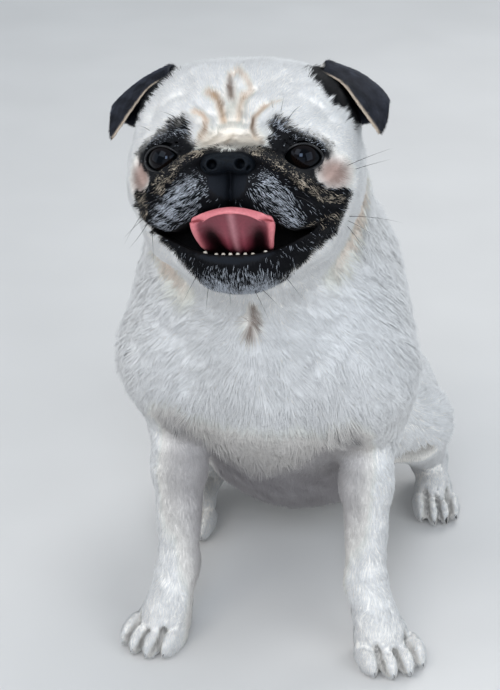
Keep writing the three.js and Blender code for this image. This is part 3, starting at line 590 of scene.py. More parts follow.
# A material: nodes by type, settings and links, and what feeds its shader
class Finish:
    def __init__(self, name, **constants):
        self.material = bpy.data.materials.new(name)
        self.material.use_nodes = True
        self.tree = self.material.node_tree
        self.shader = self.tree.nodes["Principled BSDF"]
        for socket, value in constants.items():
            self.shader.inputs[socket.replace("_", " ")].default_value = value

    def node(self, kind, settings, links, output=0):
        made = self.tree.nodes.new(kind)
        for name, value in settings.items():
            if name == "stops":
                ramp = made.color_ramp
                while len(ramp.elements) < len(value):
                    ramp.elements.new(0.5)
                for element, (position, colour) in zip(ramp.elements, value):
                    element.position = position
                    element.color = (*colour, 1)
            else:
                setattr(made, name, value)
        for name, value in links.items():
            if isinstance(value, Wire):
                self.tree.links.new(value.socket, made.inputs[name])
            else:
                made.inputs[name].default_value = value
        return Wire(self, made.outputs[output])

    def position(self):
        return self.node("ShaderNodeTexCoord", {}, {}, "Object")

    def noise(self, scale, detail=2.0, roughness=0.5, stretch=None):
        where = self.position()
        if stretch:
            where = self.node("ShaderNodeVectorMath", {"operation": "MULTIPLY"}, {0: where, 1: stretch})
        sizes = {"Vector": where, "Scale": scale, "Detail": detail, "Roughness": roughness}
        return self.node("ShaderNodeTexNoise", {}, sizes, "Fac")

    def attribute(self, name, output="Color"):
        return self.node("ShaderNodeAttribute", {"attribute_name": name}, {}, output)

    def blend(self, factor, a, b, kind="MIX"):
        settings = {"data_type": "RGBA", "blend_type": kind}
        return self.node("ShaderNodeMix", settings, {0: factor, 6: a, 7: b}, 2)

    def ramp(self, value, stops):
        return self.node("ShaderNodeValToRGB", {"stops": stops}, {"Fac": value})

    def twoTone(self, value, dark, light, stops=(0.3, 0.7)):
        self.feed("Base Color", self.ramp(value, list(zip(stops, (colour(dark), colour(light))))))

    def tinted(self, base, tone):
        self.feed("Base Color", self.blend(1.0, base, tone, "MULTIPLY"))

    def bump(self, height, strength, distance):
        sizes = {"Height": height, "Strength": strength, "Distance": distance}
        self.feed("Normal", self.node("ShaderNodeBump", {}, sizes))

    def feed(self, socket, wire):
        self.tree.links.new(wire.socket, self.shader.inputs[socket])


def colour(hexText):
    parts = [int(hexText[i : i + 2], 16) / 255 for i in (1, 3, 5)]
    return tuple(part / 12.92 if part <= 0.04045 else ((part + 0.055) / 1.055) ** 2.4 for part in parts)


def coatFinish(name, roughness):
    finish = Finish(name, Roughness=roughness, Specular_IOR_Level=0.18)
    finish.tinted(finish.attribute("coatColour"), finish.noise(260, 3) * 0.3 + 0.85)
    return finish


def skinFinish():
    finish = coatFinish("skinUnderCoat", 0.75)
    strands = finish.noise(1500, 3, 0.6, (1.0, 1.0, 0.28))
    finish.bump(strands, 0.5, 0.0006)
    return finish.material


# The markings: cream coat, black mask with grey hairs, tan in the folds that is partly painted shade; and
# painted shade under the body, inside the legs and in creases and slits
tones = {
    "cream": colour("#f3efe9"),
    "tan": colour("#c49d76"),
    "brown": colour("#5f4334"),
    "black": colour("#0b0c10"),
    "silver": colour("#c3c9d3"),
    "warmGrey": colour("#dccdb8"),
    "pink": colour("#8a6356"),
    # painted shade: the grey of the shadow under the body and inside the legs
    "paintedShade": colour("#9b979a"),
    "lip": colour("#11161e"),
    # painted shade in the slits between the toes
    "slit": colour("#5d5c5f"),
    # painted shade in the armpits and in the creases before the thighs
    "crease": colour("#1d1f24"),
}
# The lower edge of the long hair on the chest, across and up
chestFringe = ((-52, 178), (-44, 150), (-28, 135), (-12, 118), (4, 132), (20, 145), (38, 163), (50, 186))
# Seen from the front of the head, in millimetres
maskOutline = (
    (-58, -10), (-60, -20), (-56, -26), (-47, -35), (-39, -43), (-26, -58), (-19, -69), (-8, -76), (9, -76),
    (19, -70), (26, -65), (36, -55), (49, -43), (59, -34), (68, -27), (69, -13), (62, -10), (53, -12),
    (48, -7), (51, 2), (58, 9), (53, 15), (43, 20), (34, 23), (30, 27), (23, 29), (19, 25), (20, 18),
    (19, 12), (12, 10), (0, 10.5), (-10, 11), (-17, 10), (-21, 15), (-25, 19), (-24, 25), (-26, 29),
    (-34, 28), (-44, 22), (-53, 17), (-59, 10), (-56, 3), (-50, -2), (-47, -9), (-54, -12),
)
# Lines of tan and brown in the folds of the forehead, partly the hair's own colour and partly painted shade
# in the folds: points, width, strength, tone
foldLines = (
    (((-4, 51), (-3.2, 46)), 1.3, 0.8, "brown"),
    (((-3.2, 46), (-2.5, 40)), 2.0, 1.0, "brown"),
    (((-14.6, 42.5), (-11.5, 41)), 2.6, 0.7, "tan"),
    (((-11.5, 41), (-8.5, 37), (-7.2, 32), (-6.2, 27)), 1.8, 0.85, "tan"),
    (((-8.5, 37), (-7.2, 32)), 1.1, 0.5, "brown"),
    (((5, 40), (3.9, 35.5), (3.2, 31), (2.7, 27)), 1.6, 0.6, "tan"),
    (((5.6, 40.5), (4.3, 38)), 1.3, 0.6, "brown"),
    (((-3, 53), (0.5, 55.5), (5.1, 51.5), (8.6, 46), (8.5, 43), (5.6, 40.5)), 1.9, 0.5, "tan"),
    (((-21, 31.2), (-16.5, 29.6), (-14.2, 26), (-14.8, 21), (-17.4, 17)), 1.7, 0.8, "tan"),
    (((-14.4, 24), (-14.8, 21), (-17.4, 17), (-19.5, 12.5)), 1.2, 0.7, "brown"),
    (((17.9, 33.5), (14.6, 30.6), (11.8, 27), (11.4, 22)), 1.6, 0.7, "tan"),
    (((11.6, 26), (11.4, 22), (12.7, 17.4), (16, 13)), 1.3, 0.85, "brown"),
    (((17.9, 33.5), (26, 36.5)), 1.3, 0.35, "tan"),
    (((-1, 17), (-0.5, 13)), 1.2, 0.5, "tan"),
    # beige over the middle of the brow: partly its own colour, partly painted shade to tone down the light
    # falling there
    (((-13, 14), (0, 15.5), (12, 14)), 5.5, 0.75, "warmGrey"),
    (((-2, 24), (2, 36)), 7, 0.4, "warmGrey"),
)
# Light hairs in the mask: line, width, share of hairs, tone
lightHairs = (
    (((-14, 8.5), (-24, 4), (-31, -2), (-38, -11)), 3.4, 0.85, "warmGrey"),
    (((15, 7.5), (30, -0.5), (42, -9)), 3.2, 0.8, "warmGrey"),
    (((42, -9), (50, -16), (58, -18)), 2.6, 0.4, "warmGrey"),
    (((-19, -8), (-29, -17), (-36, -28)), 7.5, 0.86, "silver"),
    (((-14, -13), (-22, -26)), 4.5, 0.4, "silver"),
    (((20, -8), (28, -17), (34, -28)), 6.5, 0.72, "silver"),
    (((16, -14), (24, -27)), 4.5, 0.4, "silver"),
    (((-20, 27), (-23, 19), (-21, 13)), 3.6, 0.75, "silver"),
    (((-28, 21), (-38, 19), (-50, 15)), 3.2, 0.45, "silver"),
    (((27, 24), (34, 21), (45, 18), (53, 13)), 3.4, 0.62, "silver"),
    (((20, 26), (22, 17)), 3.0, 0.5, "silver"),
    (((-16, -66), (2, -71), (18, -66)), 6.5, 1.0, "silver"),
    (((-11, -61), (2, -62), (13, -61)), 4.5, 0.45, "silver"),
    (((-53, -15), (-50, -24)), 4.0, 0.25, "warmGrey"),
    (((38, -36), (48, -33), (56, -27)), 2.0, 0.35, "warmGrey"),
)


# How strongly each marking and each painted shade shows, mixed in this order; underside, insideLegs,
# insideArms, armpits, underChest, slits and crease are painted shade, neckFold and foldLines partly
markingAndShadeStrength = {
    "spine": 0.25,
    "neckFold": 0.42,
    "underside": 0.85,
    "insideLegs": 0.35,
    "insideArms": 0.6,
    "armpits": 0.6,
    "underChest": 0.6,
    "whorl": 0.75,
    "slits": 0.75,
    "crease": 0.7,
    "foldLines": 0.85,
    "cheeks": 0.8,
    "lip": 0.8,
    "strayLight": 0.035,
}
armpits = ((-54, 165), (60, 170))  # across and up
whorlLine = ((0.5, 269), (-0.5, 256), (-2, 247))
cheekPatches = ((56, -3, 8, 9), (-54, -3, 7, 11))  # middle and half sizes, from the front of the head


# The bare skin of the lips: a band over the chin, and a shield under the nose
def bareLip(local):
    x, y, z = local.T
    rim = np.interp(np.abs(x), mouth["side"], mouth["lower"])
    over = (np.abs(y - rim + 1.5) < 3.4 - 0.006 * x * x) & (np.abs(x) < 23)
    under = np.hypot(x / 11, (y + 9) / 9) < 1
    return (over | under) & (z > 20)


def mixIn(base, weight, tone):
    return base + (np.array(tones[tone]) - base) * weight[:, None]


def outlineDistance(x, y, outline):
    closed = outline + outline[:1]
    inside = np.zeros(x.shape, bool)
    for (ax, ay), (bx, by) in zip(closed, closed[1:]):
        if ay != by:
            inside ^= ((ay > y) != (by > y)) & (x < ax + (y - ay) / (by - ay) * (bx - ax))
    away = lineDistance(x, y, closed)
    return np.where(inside, -away, away)


# Colour of the ground on the body and legs, with painted shade under the body, inside the legs, in the
# armpits, in the slits between the toes and in the creases before the thighs
def bodyGroundAndShade(points):
    x, y, z = points.T
    aside = np.abs(x)
    headX, headY, headZ = toHead(points).T
    fringe = np.interp(x, *zip(*chestFringe))
    marksAndShade = {
        "spine": ("tan", bell(x, 34) * smoothStep(y, 90, 190) * smoothStep(z, 110, 170)),
        # tan in the neck fold behind the cheeks: partly tan hair, partly painted shade in the fold
        "neckFold": ("tan", bell(headZ + 62 + 0.1 * headY, 7) * smoothStep(np.abs(headX), 30, 60)
                     * (z > 200)),
        # painted shade: grey under the belly, inside the legs and arms, and under the long hair of the chest
        "underside": ("paintedShade", fadeOut(z, 90, 165) * smoothStep(y, -20, 40)
                      * fadeOut(y, 80, 135) * fadeOut(aside, 48, 62)),
        "insideLegs": ("paintedShade", smoothStep(62 - aside, 0, 14) * smoothStep(z, 35, 75)
                       * fadeOut(z, 150, 195) * fadeOut(y, 40, 80)),
        "insideArms": ("paintedShade", smoothStep(76 - aside, 0, 16) * smoothStep(aside, 42, 52)
                       * fadeOut(y, 20, 60) * smoothStep(z, 60, 120) * fadeOut(z, 172, 200)),
        # painted shade in the armpits
        "armpits": ("crease", sum(bell(np.hypot(x - side, z - up), 5) for side, up in armpits) * (y < 0)),
        "underChest": ("paintedShade", smoothStep(fringe - z, -2, 14) * fadeOut(aside, 42, 52)
                       * fadeOut(y, 110, 170)),
        "whorl": ("brown", bell(lineDistance(x, z, whorlLine), 2.2) * (y < 0)),
    }
    base = np.tile(tones["cream"], (len(points), 1))
    for name, (tone, share) in marksAndShade.items():
        base = mixIn(base, markingAndShadeStrength[name] * share, tone)
    for leg in legs:
        paw = leg["paw"]
        near = (np.abs(x - paw["heel"][0]) < 60) & (np.abs(y - paw["heel"][1]) < 90)
        # painted shade down in the slits between the toes
        paintedSlitShade = np.zeros(len(points))
        paintedSlitShade[near] = bell(np.maximum(slitField(toPaw(points[near], paw), paw) + 0.5, 0), 2.2)
        base = mixIn(base, markingAndShadeStrength["slits"] * paintedSlitShade * (z < 30), "slit")
        if "crease" in leg:
            # painted shade deep in the crease before the thigh
            paintedCreaseShade = bell(np.maximum(creaseField(points, leg), 0), 3)
            base = mixIn(base, markingAndShadeStrength["crease"] * paintedCreaseShade, "crease")
    return base


# Colour of the ground at each point, share of light hairs in the mask and their colour, and the mask itself
# joined with the painted shadow under the ear flaps
def markingsAndShade(points):
    x, y, z = toHead(points).T
    aside = np.abs(x)
    up = points[:, 2]
    base = bodyGroundAndShade(points)
    front = smoothStep(z, 5, 22) * (up > 250)
    for line, width, strength, tone in foldLines:
        share = markingAndShadeStrength["foldLines"] * strength * front * bell(lineDistance(x, y, line), width)
        base = mixIn(base, share, tone)
    cheeks = sum(
        np.exp(-(np.hypot((x - atX) / halfX, (y - atY) / halfY) ** 4))
        for atX, atY, halfX, halfY in cheekPatches
    )
    base = mixIn(base, markingAndShadeStrength["cheeks"] * np.minimum(cheeks, 1) * front, "pink")
    # black on the skull between it and the ear flap: partly the dark hair at the ear's root, partly painted
    # shadow under the flap
    fromEdge = aside - (37 + (56 - np.minimum(y, 58)) * 0.86)
    flapShadowAndHair = smoothStep(fromEdge + 1.5 * swell(points, 5, 8), 0, 3) * smoothStep(y, 20, 28)
    flapShadowAndHair *= smoothStep(z, -46, -38) * fadeOut(z, 18, 28) * (up > 330)
    base = mixIn(base, flapShadowAndHair, "black")
    # the mask, with a softer edge over the eyes, ends before the sides of the head
    away = outlineDistance(x, y, maskOutline) + 0.7 * swell(points, 7, 3)
    soft = 1.6 + 2.4 * smoothStep(y, 2, 12)
    forward = smoothStep(z + 0.25 * y - 0.6 * np.maximum(aside - 46, 0), 0, 9) * (up > 240)
    mask = fadeOut(away, -soft, soft) * forward
    base = mixIn(base, mask, "black")
    base = mixIn(base, np.where(bareLip(np.stack([x, y, z], -1)), markingAndShadeStrength["lip"], 0), "lip")
    light = markingAndShadeStrength["strayLight"] * mask
    hue = np.tile(tones["silver"], (len(points), 1))
    for line, width, share, tone in lightHairs:
        near = share * bell(lineDistance(x, y, line), width) * mask
        hue[near > light] = tones[tone]
        light = np.maximum(light, near)
    return np.clip(base, 0, 1), light, hue, np.maximum(mask, flapShadowAndHair)


# The skin lies inside the coat by the coat's depth
coat = {
    "faceDepth": 0.8,
    "headDepth": 1.8,
    "bodyDepth": 3.2,
    "pawDepth": 1.0,
}
skinCuts = {"mouthSoft": 2.5, "eyeGap": 0.2, "lidSoft": 1.0, "noseDepth": 1.2, "overFloor": 0.6}


def coatDepth(p):
    local = toHead(p)
    depth = np.full(len(p), float(coat["bodyDepth"]))
    lowered = smoothStep(p[:, 2], 20, 150)
    inLegs = smoothStep(np.abs(p[:, 0]), 30, 50) * (1 - lowered)
    depth += (coat["pawDepth"] - depth) * np.maximum(inLegs, 1 - smoothStep(p[:, 2], 10, 40))
    onHead = smoothStep(local[:, 2], -62, -38) * (p[:, 2] > 200)
    onFace = smoothStep(local[:, 2], 2, 22) * (p[:, 2] > 200)
    depth += (coat["headDepth"] - depth) * onHead
    return (depth + (coat["faceDepth"] - depth) * onFace).astype(np.float32)


def skinField(p):
    field = dogField(p) + coatDepth(p)
    zone = (p[:, 2] > 230) & (p[:, 1] < 20)
    local = toHead(p[zone]).astype(np.float32)
    headed = carve(field[zone], mouthField(local), skinCuts["mouthSoft"])
    ball = np.full(len(local), 1e6, np.float32)
    for sign in (1, -1):
        d = local - np.array(eyeball["centre"], np.float32) * (sign, 1, 1)
        ball = np.minimum(ball, np.sqrt((d * d).sum(-1)) - eyeball["radius"] - skinCuts["eyeGap"])
    headed = np.maximum(headed, -ball)
    headed = carve(headed, eyeOpening(local), skinCuts["lidSoft"])
    headed = np.maximum(headed, -(noseBulk(local) + skinCuts["noseDepth"]))
    field[zone] = headed
    return np.maximum(field, skinCuts["overFloor"] - p[:, 2])


skinGrid = {
    "coarse": 3.1,
    "fine": 1.8,
    "x": (-112, 118, -72, 72),  # from, to, and between which two places the cells are fine
    "y": (-122, 300, -122, -26),
    "z": (-4, 428, 268, 428),
}
gridLines = [gridLine(skinGrid["coarse"], skinGrid["fine"], *skinGrid[axis]) for axis in "xyz"]
skinPoints, skinQuads = fieldSurface(skinField, *gridLines)
skinTris = triangles(skinQuads)
skinNormals = pointNormals(skinPoints, skinTris)
skinColours = markingsAndShade(skinPoints)[0]
skinInHead = toHead(skinPoints)
# inside the mouth the skin is near black: a dark lining, darkened further as painted shade
inMouth = (mouthField(skinInHead) < 1.2) & (skinInHead[:, 2] > 5) & (skinPoints[:, 2] > 240)
skinColours[inMouth] = colour("#080607")
skin = makeMesh("skin", skinPoints, skinQuads)
setColours(skin, "coatColour", skinColours)
fleshNodes = ["head", "lower_jaw", "neck", "torso", "tail"]
for limb in ("shoulder", "forearm", "front_paw", "thigh", "hock", "hind_paw"):
    fleshNodes += [limb + "_left", limb + "_right"]
place(skin, skinFinish(), "coat", *fleshNodes)
print("skin", len(skinPoints), "points")


# The lie of the coat: which way the hair runs, how long it is and how far it stands off
hair = {
    "face": {"length": 3.4, "lift": 20, "width": 0.42, "density": 2.45},
    "crown": {"length": 6.5, "lift": 16, "width": 0.55, "density": 1.3},
    "neck": {"length": 13, "lift": 13, "width": 0.85, "density": 0.78},
    "trunk": {"length": 10, "lift": 9, "width": 0.95, "density": 0.62},
    "leg": {"length": 6, "lift": 10, "width": 0.68, "density": 0.92},
    "paw": {"length": 3.8, "lift": 15, "width": 0.5, "density": 1.6},
}
hairParts = ("face", "crown", "neck", "trunk", "leg", "paw")


# How much each part of the coat counts at a point; the shares add up to one
def hairShares(points):
    h = toHead(points)
    x, y, z = points.T
    high = smoothStep(z, 235, 262)
    onHead = smoothStep(h[:, 2], -66, -44) * high * (y < 60)
    onFace = onHead * smoothStep(h[:, 2] - 0.35 * np.maximum(h[:, 1] - 20, 0), 4, 22)
    inNeck = smoothStep(z - 0.55 * y, 150, 215) * (1 - onHead)
    inPaw = 1 - smoothStep(z, 26, 48)
    outer = smoothStep(np.abs(x), 34, 46)
    low = 1 - smoothStep(z, 118, 158)
    isFront = 1 - smoothStep(y, 56, 78)
    inLeg = np.maximum(low * outer * isFront, (1 - smoothStep(z, 60, 90)) * outer)
    inPaw *= outer
    inLeg = np.maximum(inLeg - inPaw, 0)
    rest = 1 - inPaw - inLeg
    shares = np.stack([onFace, onHead - onFace, inNeck, (1 - onHead) * (1 - inNeck), 0 * z, 0 * z], -1)
    shares *= rest[:, None]
    shares[:, 4] = inLeg
    shares[:, 5] = inPaw
    return shares / np.maximum(shares.sum(1, keepdims=True), 1e-6)


def lieOfCoat(points, normals):
    h = toHead(points)
    x, y, z = points.T
    shares = hairShares(points)
    # away from the nose on the head
    fromNose = h - (0, 2, 40)
    fromNose[:, 2] *= 0.7
    headWay = unit(fromNose) @ headTurn.T
    # down and back on the body, out from the whorl on the chest
    down = np.zeros(points.shape)
    down[:, 1] = 0.25 + 0.9 * smoothStep(y, 60, 160)
    down[:, 2] = -1 + 0.4 * smoothStep(y, 60, 160)
    whorl = points - (-2, -30, 252)
    nearWhorl = np.exp(-((np.linalg.norm(whorl, axis=1) / 62) ** 2))[:, None] * (normals[:, 1:2] < 0)
    down += unit(whorl * (1, 0.2, 0.6)) * nearWhorl * 1.3
    side = np.zeros(points.shape)
    side[:, 0] = np.sign(x) * smoothStep(np.abs(x), 0, 60) * 0.35
    chest = smoothStep(-y, -30, 30)[:, None]
    down += side * chest
    # down the legs, and ahead over the paws
    legWay = np.zeros(points.shape)
    legWay[:, 2] = -1
    legWay[:, 1] = 0.15
    pawWay = np.zeros(points.shape)
    pawWay[:, 1] = -1
    pawWay[:, 2] = -0.7
    onHead = (shares[:, 0] + shares[:, 1])[:, None]
    way = headWay * onHead + unit(down) * (shares[:, 2] + shares[:, 3])[:, None]
    way += unit(legWay) * shares[:, 4:5] + unit(pawWay) * shares[:, 5:6]
    tailZone = (tailField(points.astype(np.float32)) < 8) & (y > 214)
    ring = points - np.array(tail["centre"])
    around = np.cross(ring, (1, 0, 0))
    way[tailZone] = -unit(around)[tailZone] + (0.2, 0, 0)
    # locks wander a little from side to side
    across = np.cross(normals, way)
    way += across * (0.22 * swell(points, 16, 5) + 0.16 * swell(points, 6, 6))[:, None]
    way -= normals * (way * normals).sum(1, keepdims=True)
    return unit(way)


# Where no hair grows: mouth, eyes, nose, lips and soles
def isBare(points):
    local = toHead(points).astype(np.float32)
    bare = (mouthField(local) < 0.6) | (eyeOpening(local) < 1.0) | (noseBulk(local) < 1.4) | bareLip(local)
    onFace = (points[:, 2] > 240) & (local[:, 2] > 5)
    return (bare & onFace) | (points[:, 2] < 2.2)


# Roots spread over a surface by area; values given at its points come along
def scatterRoots(points, tris, normals, densityAt, values=None):
    a, b, c = (points[tris[:, n]] for n in range(3))
    area = np.linalg.norm(np.cross(b - a, c - a), axis=1) / 2
    wanted = area * densityAt((a + b + c) / 3)
    count = np.floor(wanted + draw.random(len(tris))).astype(int)
    face = np.repeat(np.arange(len(tris)), count)
    u, v = draw.random((2, len(face)))
    flip = u + v > 1
    u[flip], v[flip] = 1 - u[flip], 1 - v[flip]
    share = np.stack([1 - u - v, u, v], -1)[:, :, None]
    corner = tris[face]
    at, out = (points[corner] * share).sum(1), unit((normals[corner] * share).sum(1))
    return (at, out) if values is None else (at, out, (values[corner] * share).sum(1))


# What every tuft shares
tuft = {
    "sunk": 0.6,  # how far its root lies back along it
    "under": 0.25,  # and how far below the surface
    "overFloor": 0.3,
    "patch": 0.0012,  # half the width of its patch on the unwrap
    "skinNormal": 0.9,
    "ownNormal": 0.14,
}


# Closed tapered tufts, three-sided, each with its root sunk in the skin
def growTufts(name, roots, normals, way, length, lift, width, colours, patches, material):
    count = len(roots)
    side = np.cross(normals, way)
    out = way * np.cos(lift)[:, None] + normals * np.sin(lift)[:, None]
    over = np.cross(side, out)
    over *= np.sign((over * normals).sum(1, keepdims=True))
    base = roots - out * tuft["sunk"] - normals * tuft["under"]
    half = width[:, None] / 2
    corners = np.stack([base + side * half, base - side * half, base + over * half * 1.1], 1)
    tip = base + out * (length + tuft["sunk"])[:, None]
    points = np.concatenate([corners, tip[:, None]], 1).reshape(-1, 3)
    points[:, 2] = np.maximum(points[:, 2], tuft["overFloor"])
    first = np.arange(count)[:, None] * 4
    pattern = np.array([[0, 3, 1], [1, 3, 2], [2, 3, 0], [0, 1, 2]])
    faces = (first[:, :, None] + pattern[None]).reshape(-1, 3)
    piece = makeMesh(name, points, faces)
    setColours(piece, "coatColour", np.repeat(colours, 4, axis=0))
    setValues(piece, "along", np.tile([0.0, 0.0, 0.0, 1.0], count))
    spread = tuft["patch"] * np.array([(-1, -1), (1, -1), (0, 0), (0, 1.25)])
    uv = (patches[:, None] + spread[None]).reshape(-1, 2)
    layer = piece.data.uv_layers.new(name="OFBake")
    layer.data.foreach_set("uv", uv[faces.ravel()].astype(np.float32).ravel())
    # shaded mostly as the skin below, so that the coat stays soft
    ownNormals = unit(points.reshape(-1, 4, 3) - (base + over * 0.01)[:, None])
    shaded = unit(tuft["skinNormal"] * normals[:, None] + tuft["ownNormal"] * ownNormals)
    piece.data.normals_split_custom_set_from_vertices(shaded.reshape(-1, 3).astype(np.float32))
    print(name, count, "tufts")
    return place(piece, material, "coat")


# A round unwrap of the skin about a middle point: turn about an axis, and height along it
def roundUnwrap(middle, up):
    up = unit(np.array(up, float))
    start = unit(np.cross(up, (0.3, 1, 0.2)))
    third = np.cross(up, start)

    def unwrap(points):
        d = points - np.array(middle, float)
        turn = np.arctan2(d @ third, d @ start) / (2 * math.pi) + 0.5
        reach = np.linalg.norm(d, axis=1)
        rise = np.arccos(np.clip(d @ up / reach, -1, 1)) / math.pi
        return np.stack([0.01 + 0.98 * turn, 0.01 + 0.98 * rise], -1)

    return unwrap


# A tube's unwrap, for legs: turn about the leg, and height with a share of the distance out
def tubeUnwrap(leg):
    joints = np.array(leg["joints"], float)
    top = joints[0][2] + 60

    def unwrap(points):
        height = points[:, 2]
        order = np.argsort(joints[:, 2])
        x = np.interp(height, joints[order, 2], joints[order, 0])
        y = np.interp(height, joints[order, 2], joints[order, 1])
        dx, dy = points[:, 0] - x, points[:, 1] - y
        turn = np.arctan2(dy, dx) / (2 * math.pi) + 0.5
        rise = (height - 0.6 * np.hypot(dx, dy) + 60) / (top + 60)
        return np.stack([0.01 + 0.98 * turn, 0.01 + 0.98 * np.clip(rise, 0, 1)], -1)

    return unwrap


# The tufts are darker at their roots: painted shade down among the hairs
def shortCoatFinish():
    finish = Finish("shortCoat", Roughness=0.65, Specular_IOR_Level=0.1)
    colours, along = finish.attribute("coatColour"), finish.attribute("along", "Fac")
    finish.tinted(colours, (0.88 + 0.12 * along) * (0.9 + 0.2 * finish.noise(700, 2)))
    return finish.material


coatMaterial = shortCoatFinish()
fringe = {"length": 8, "lift": 5, "width": 9}  # longer hair along the lower edge of the chest
noseFringe = {"length": 3.2, "lift": 16, "turn": 2.4}  # hair of the fold that hangs over the nose
mostTufts = 46000  # in one piece


def hairDensity(points):
    return hairShares(points) @ np.array([hair[part]["density"] for part in hairParts])


def overNose(points):
    h = toHead(points)
    return np.exp(-((h[:, 0] / 17) ** 4) - ((h[:, 1] - 10) / 5) ** 2) * (h[:, 2] > 30)


# Length, lift and width of the tufts, before each one varies
def tuftSizes(roots, shares):
    h = toHead(roots)
    x, y, z = roots.T
    length, lift, width = (
        shares @ np.array([hair[part][key] for part in hairParts]) for key in ("length", "lift", "width")
    )
    onFringe = bell(lineDistance(x, z, chestFringe), fringe["width"]) * (y < 70) * (shares[:, 0] < 0.1)
    onNose = overNose(roots)
    # shorter round the eyes and the nose
    nearEye = np.minimum(*(np.hypot((h[:, 0] - sign * 38.5) / 20, (h[:, 1] - 6) / 15) for sign in (1, -1)))
    nearNose = np.hypot(h[:, 0] / 20, (h[:, 1] - 1) / 12)
    shorter = (0.45 + 0.55 * smoothStep(nearEye, 0.8, 1.3)) * (0.5 + 0.5 * smoothStep(nearNose, 0.9, 1.5))
    length = (length + fringe["length"] * onFringe) * (1 + (shorter - 1) * shares[:, 0])
    for leg in legs:
        if "crease" in leg:
            length *= 0.3 + 0.7 * smoothStep(creaseField(roots, leg), 2, 12)
    lift = lift + fringe["lift"] * onFringe + noseFringe["lift"] * onNose
    return length + noseFringe["length"] * onNose, lift, width


def tuftColours(roots):
    n = len(roots)
    ground, light, hue, mask = markingsAndShade(roots)
    black = np.array(tones["black"])
    isDark = draw.random(n) < smoothStep(mask, 0.25, 0.85)
    isLight = isDark & (draw.random(n) < light * (0.85 + 0.4 * swell(roots, 5, 21)))
    # pale hairs at the edge of the mask keep the colour that lies beside it
    pale = np.clip(ground + (ground - black) * (mask / np.maximum(1 - mask, 0.25))[:, None], 0, 0.8)
    colours = np.where(isDark[:, None], black, pale)
    colours[isLight] = hue[isLight] * draw.uniform(0.5, 1.05, (isLight.sum(), 1))
    clump = 1 + 0.025 * swell(roots, 20, 11) + 0.02 * swell(roots, 7, 12)
    colours *= (clump * draw.uniform(0.92, 1.04, n))[:, None]
    return np.clip(colours, 0.003, 0.9)


# The coat's regions, each with its own unwrap
def coatRegions(roots, shares):
    x, y, z = roots.T
    aroundHead = roundUnwrap(fromHead((0, 0, -8)), headTurn[:, 1])
    aroundTrunk = roundUnwrap((0, 80, 190), (0, 0.6, 0.8))
    head = (shares[:, 0] + shares[:, 1]) > 0.5
    face = head & (toHead(roots)[:, 2] > 6)
    regions = {"face": (face, aroundHead), "crown": (head & ~face, aroundHead)}
    taken = head.copy()
    for leg in legs:
        isFront = leg["name"].startswith("front")
        onSide = (x > 0) == leg["name"].endswith("Left")
        chosen = ~taken & onSide & ((shares[:, 4] + shares[:, 5]) > 0.5) & ((y < 70) == isFront)
        regions[leg["name"]] = (chosen, tubeUnwrap(leg))
        taken |= chosen
    for name, place in {"chest": y < 40, "flankLeft": x > 0, "flankRight": x <= 0}.items():
        chosen = ~taken & place
        regions[name] = (chosen, aroundTrunk)
        taken |= chosen
    return regions


def growCoat():
    roots, normals = scatterRoots(skinPoints, skinTris, skinNormals, hairDensity)
    keep = ~isBare(roots)
    roots, normals = roots[keep], normals[keep]
    n = len(roots)
    shares = hairShares(roots)
    way = lieOfCoat(roots, normals)
    way = unit(way - overNose(roots)[:, None] * noseFringe["turn"] * headTurn[:, 1])
    way = unit(way - normals * (way * normals).sum(1, keepdims=True))
    length, lift, width = tuftSizes(roots, shares)
    length = length * draw.uniform(0.7, 1.15, n)
    lift = np.radians(lift * np.clip(1 + 0.3 * swell(roots, 12, 9) + draw.normal(0, 0.18, n), 0.3, 2))
    width = width * draw.uniform(0.7, 1.3, n)
    values = (roots, normals, way, length, lift, width, tuftColours(roots))
    for name, (own, unwrap) in coatRegions(roots, shares).items():
        index = np.nonzero(own)[0]
        index = index[np.argsort(roots[index, 2])]
        parts = max(1, math.ceil(len(index) / mostTufts))
        for number, chosen in enumerate(np.array_split(index, parts)):
            title = "coat_" + name + ("_" + str(number + 1) if parts > 1 else "")
            growTufts(title, *(value[chosen] for value in values), unwrap(roots[chosen]), coatMaterial)
    return n


print("coat", growCoat(), "tufts")


# A smooth curve through points, or through whole rows of points, at even shares
def curveThrough(points, count):
    points = np.asarray(points, float)
    last = len(points) - 1
    t = np.linspace(0, last, count)
    i = np.minimum(t.astype(int), last - 1)
    f = (t - i).reshape((-1,) + (1,) * (points.ndim - 1))
    padded = np.concatenate([2 * points[:1] - points[1:2], points, 2 * points[-1:] - points[-2:-1]])
    a, b, c, d = (padded[i + n] for n in range(4))
    return b + 0.5 * f * (c - a + f * (2 * a - 5 * b + 4 * c - d + f * (3 * (b - c) + d - a)))


# A closed sheet about rows of points, with a thickness at each of them
def sheet(rows, thickness):
    down, across = rows.shape[:2]
    normal = unit(np.cross(np.gradient(rows, axis=0), np.gradient(rows, axis=1)))
    half = normal * thickness[..., None] / 2
    points = np.concatenate([(rows + half).reshape(-1, 3), (rows - half).reshape(-1, 3)])
    index = np.arange(down * across).reshape(down, across)
    a, b, c, d = index[:-1, :-1], index[1:, :-1], index[1:, 1:], index[:-1, 1:]
    top = np.stack([a, b, c, d], -1).reshape(-1, 4)
    rim = np.concatenate([index[0], index[1:, -1], index[-1, -2::-1], index[-2:0:-1, 0]])
    after = np.roll(rim, -1)
    n = down * across
    edge = np.stack([rim, after, after + n, rim + n], -1)
    return points, np.concatenate([top, top[:, ::-1] + n, edge])


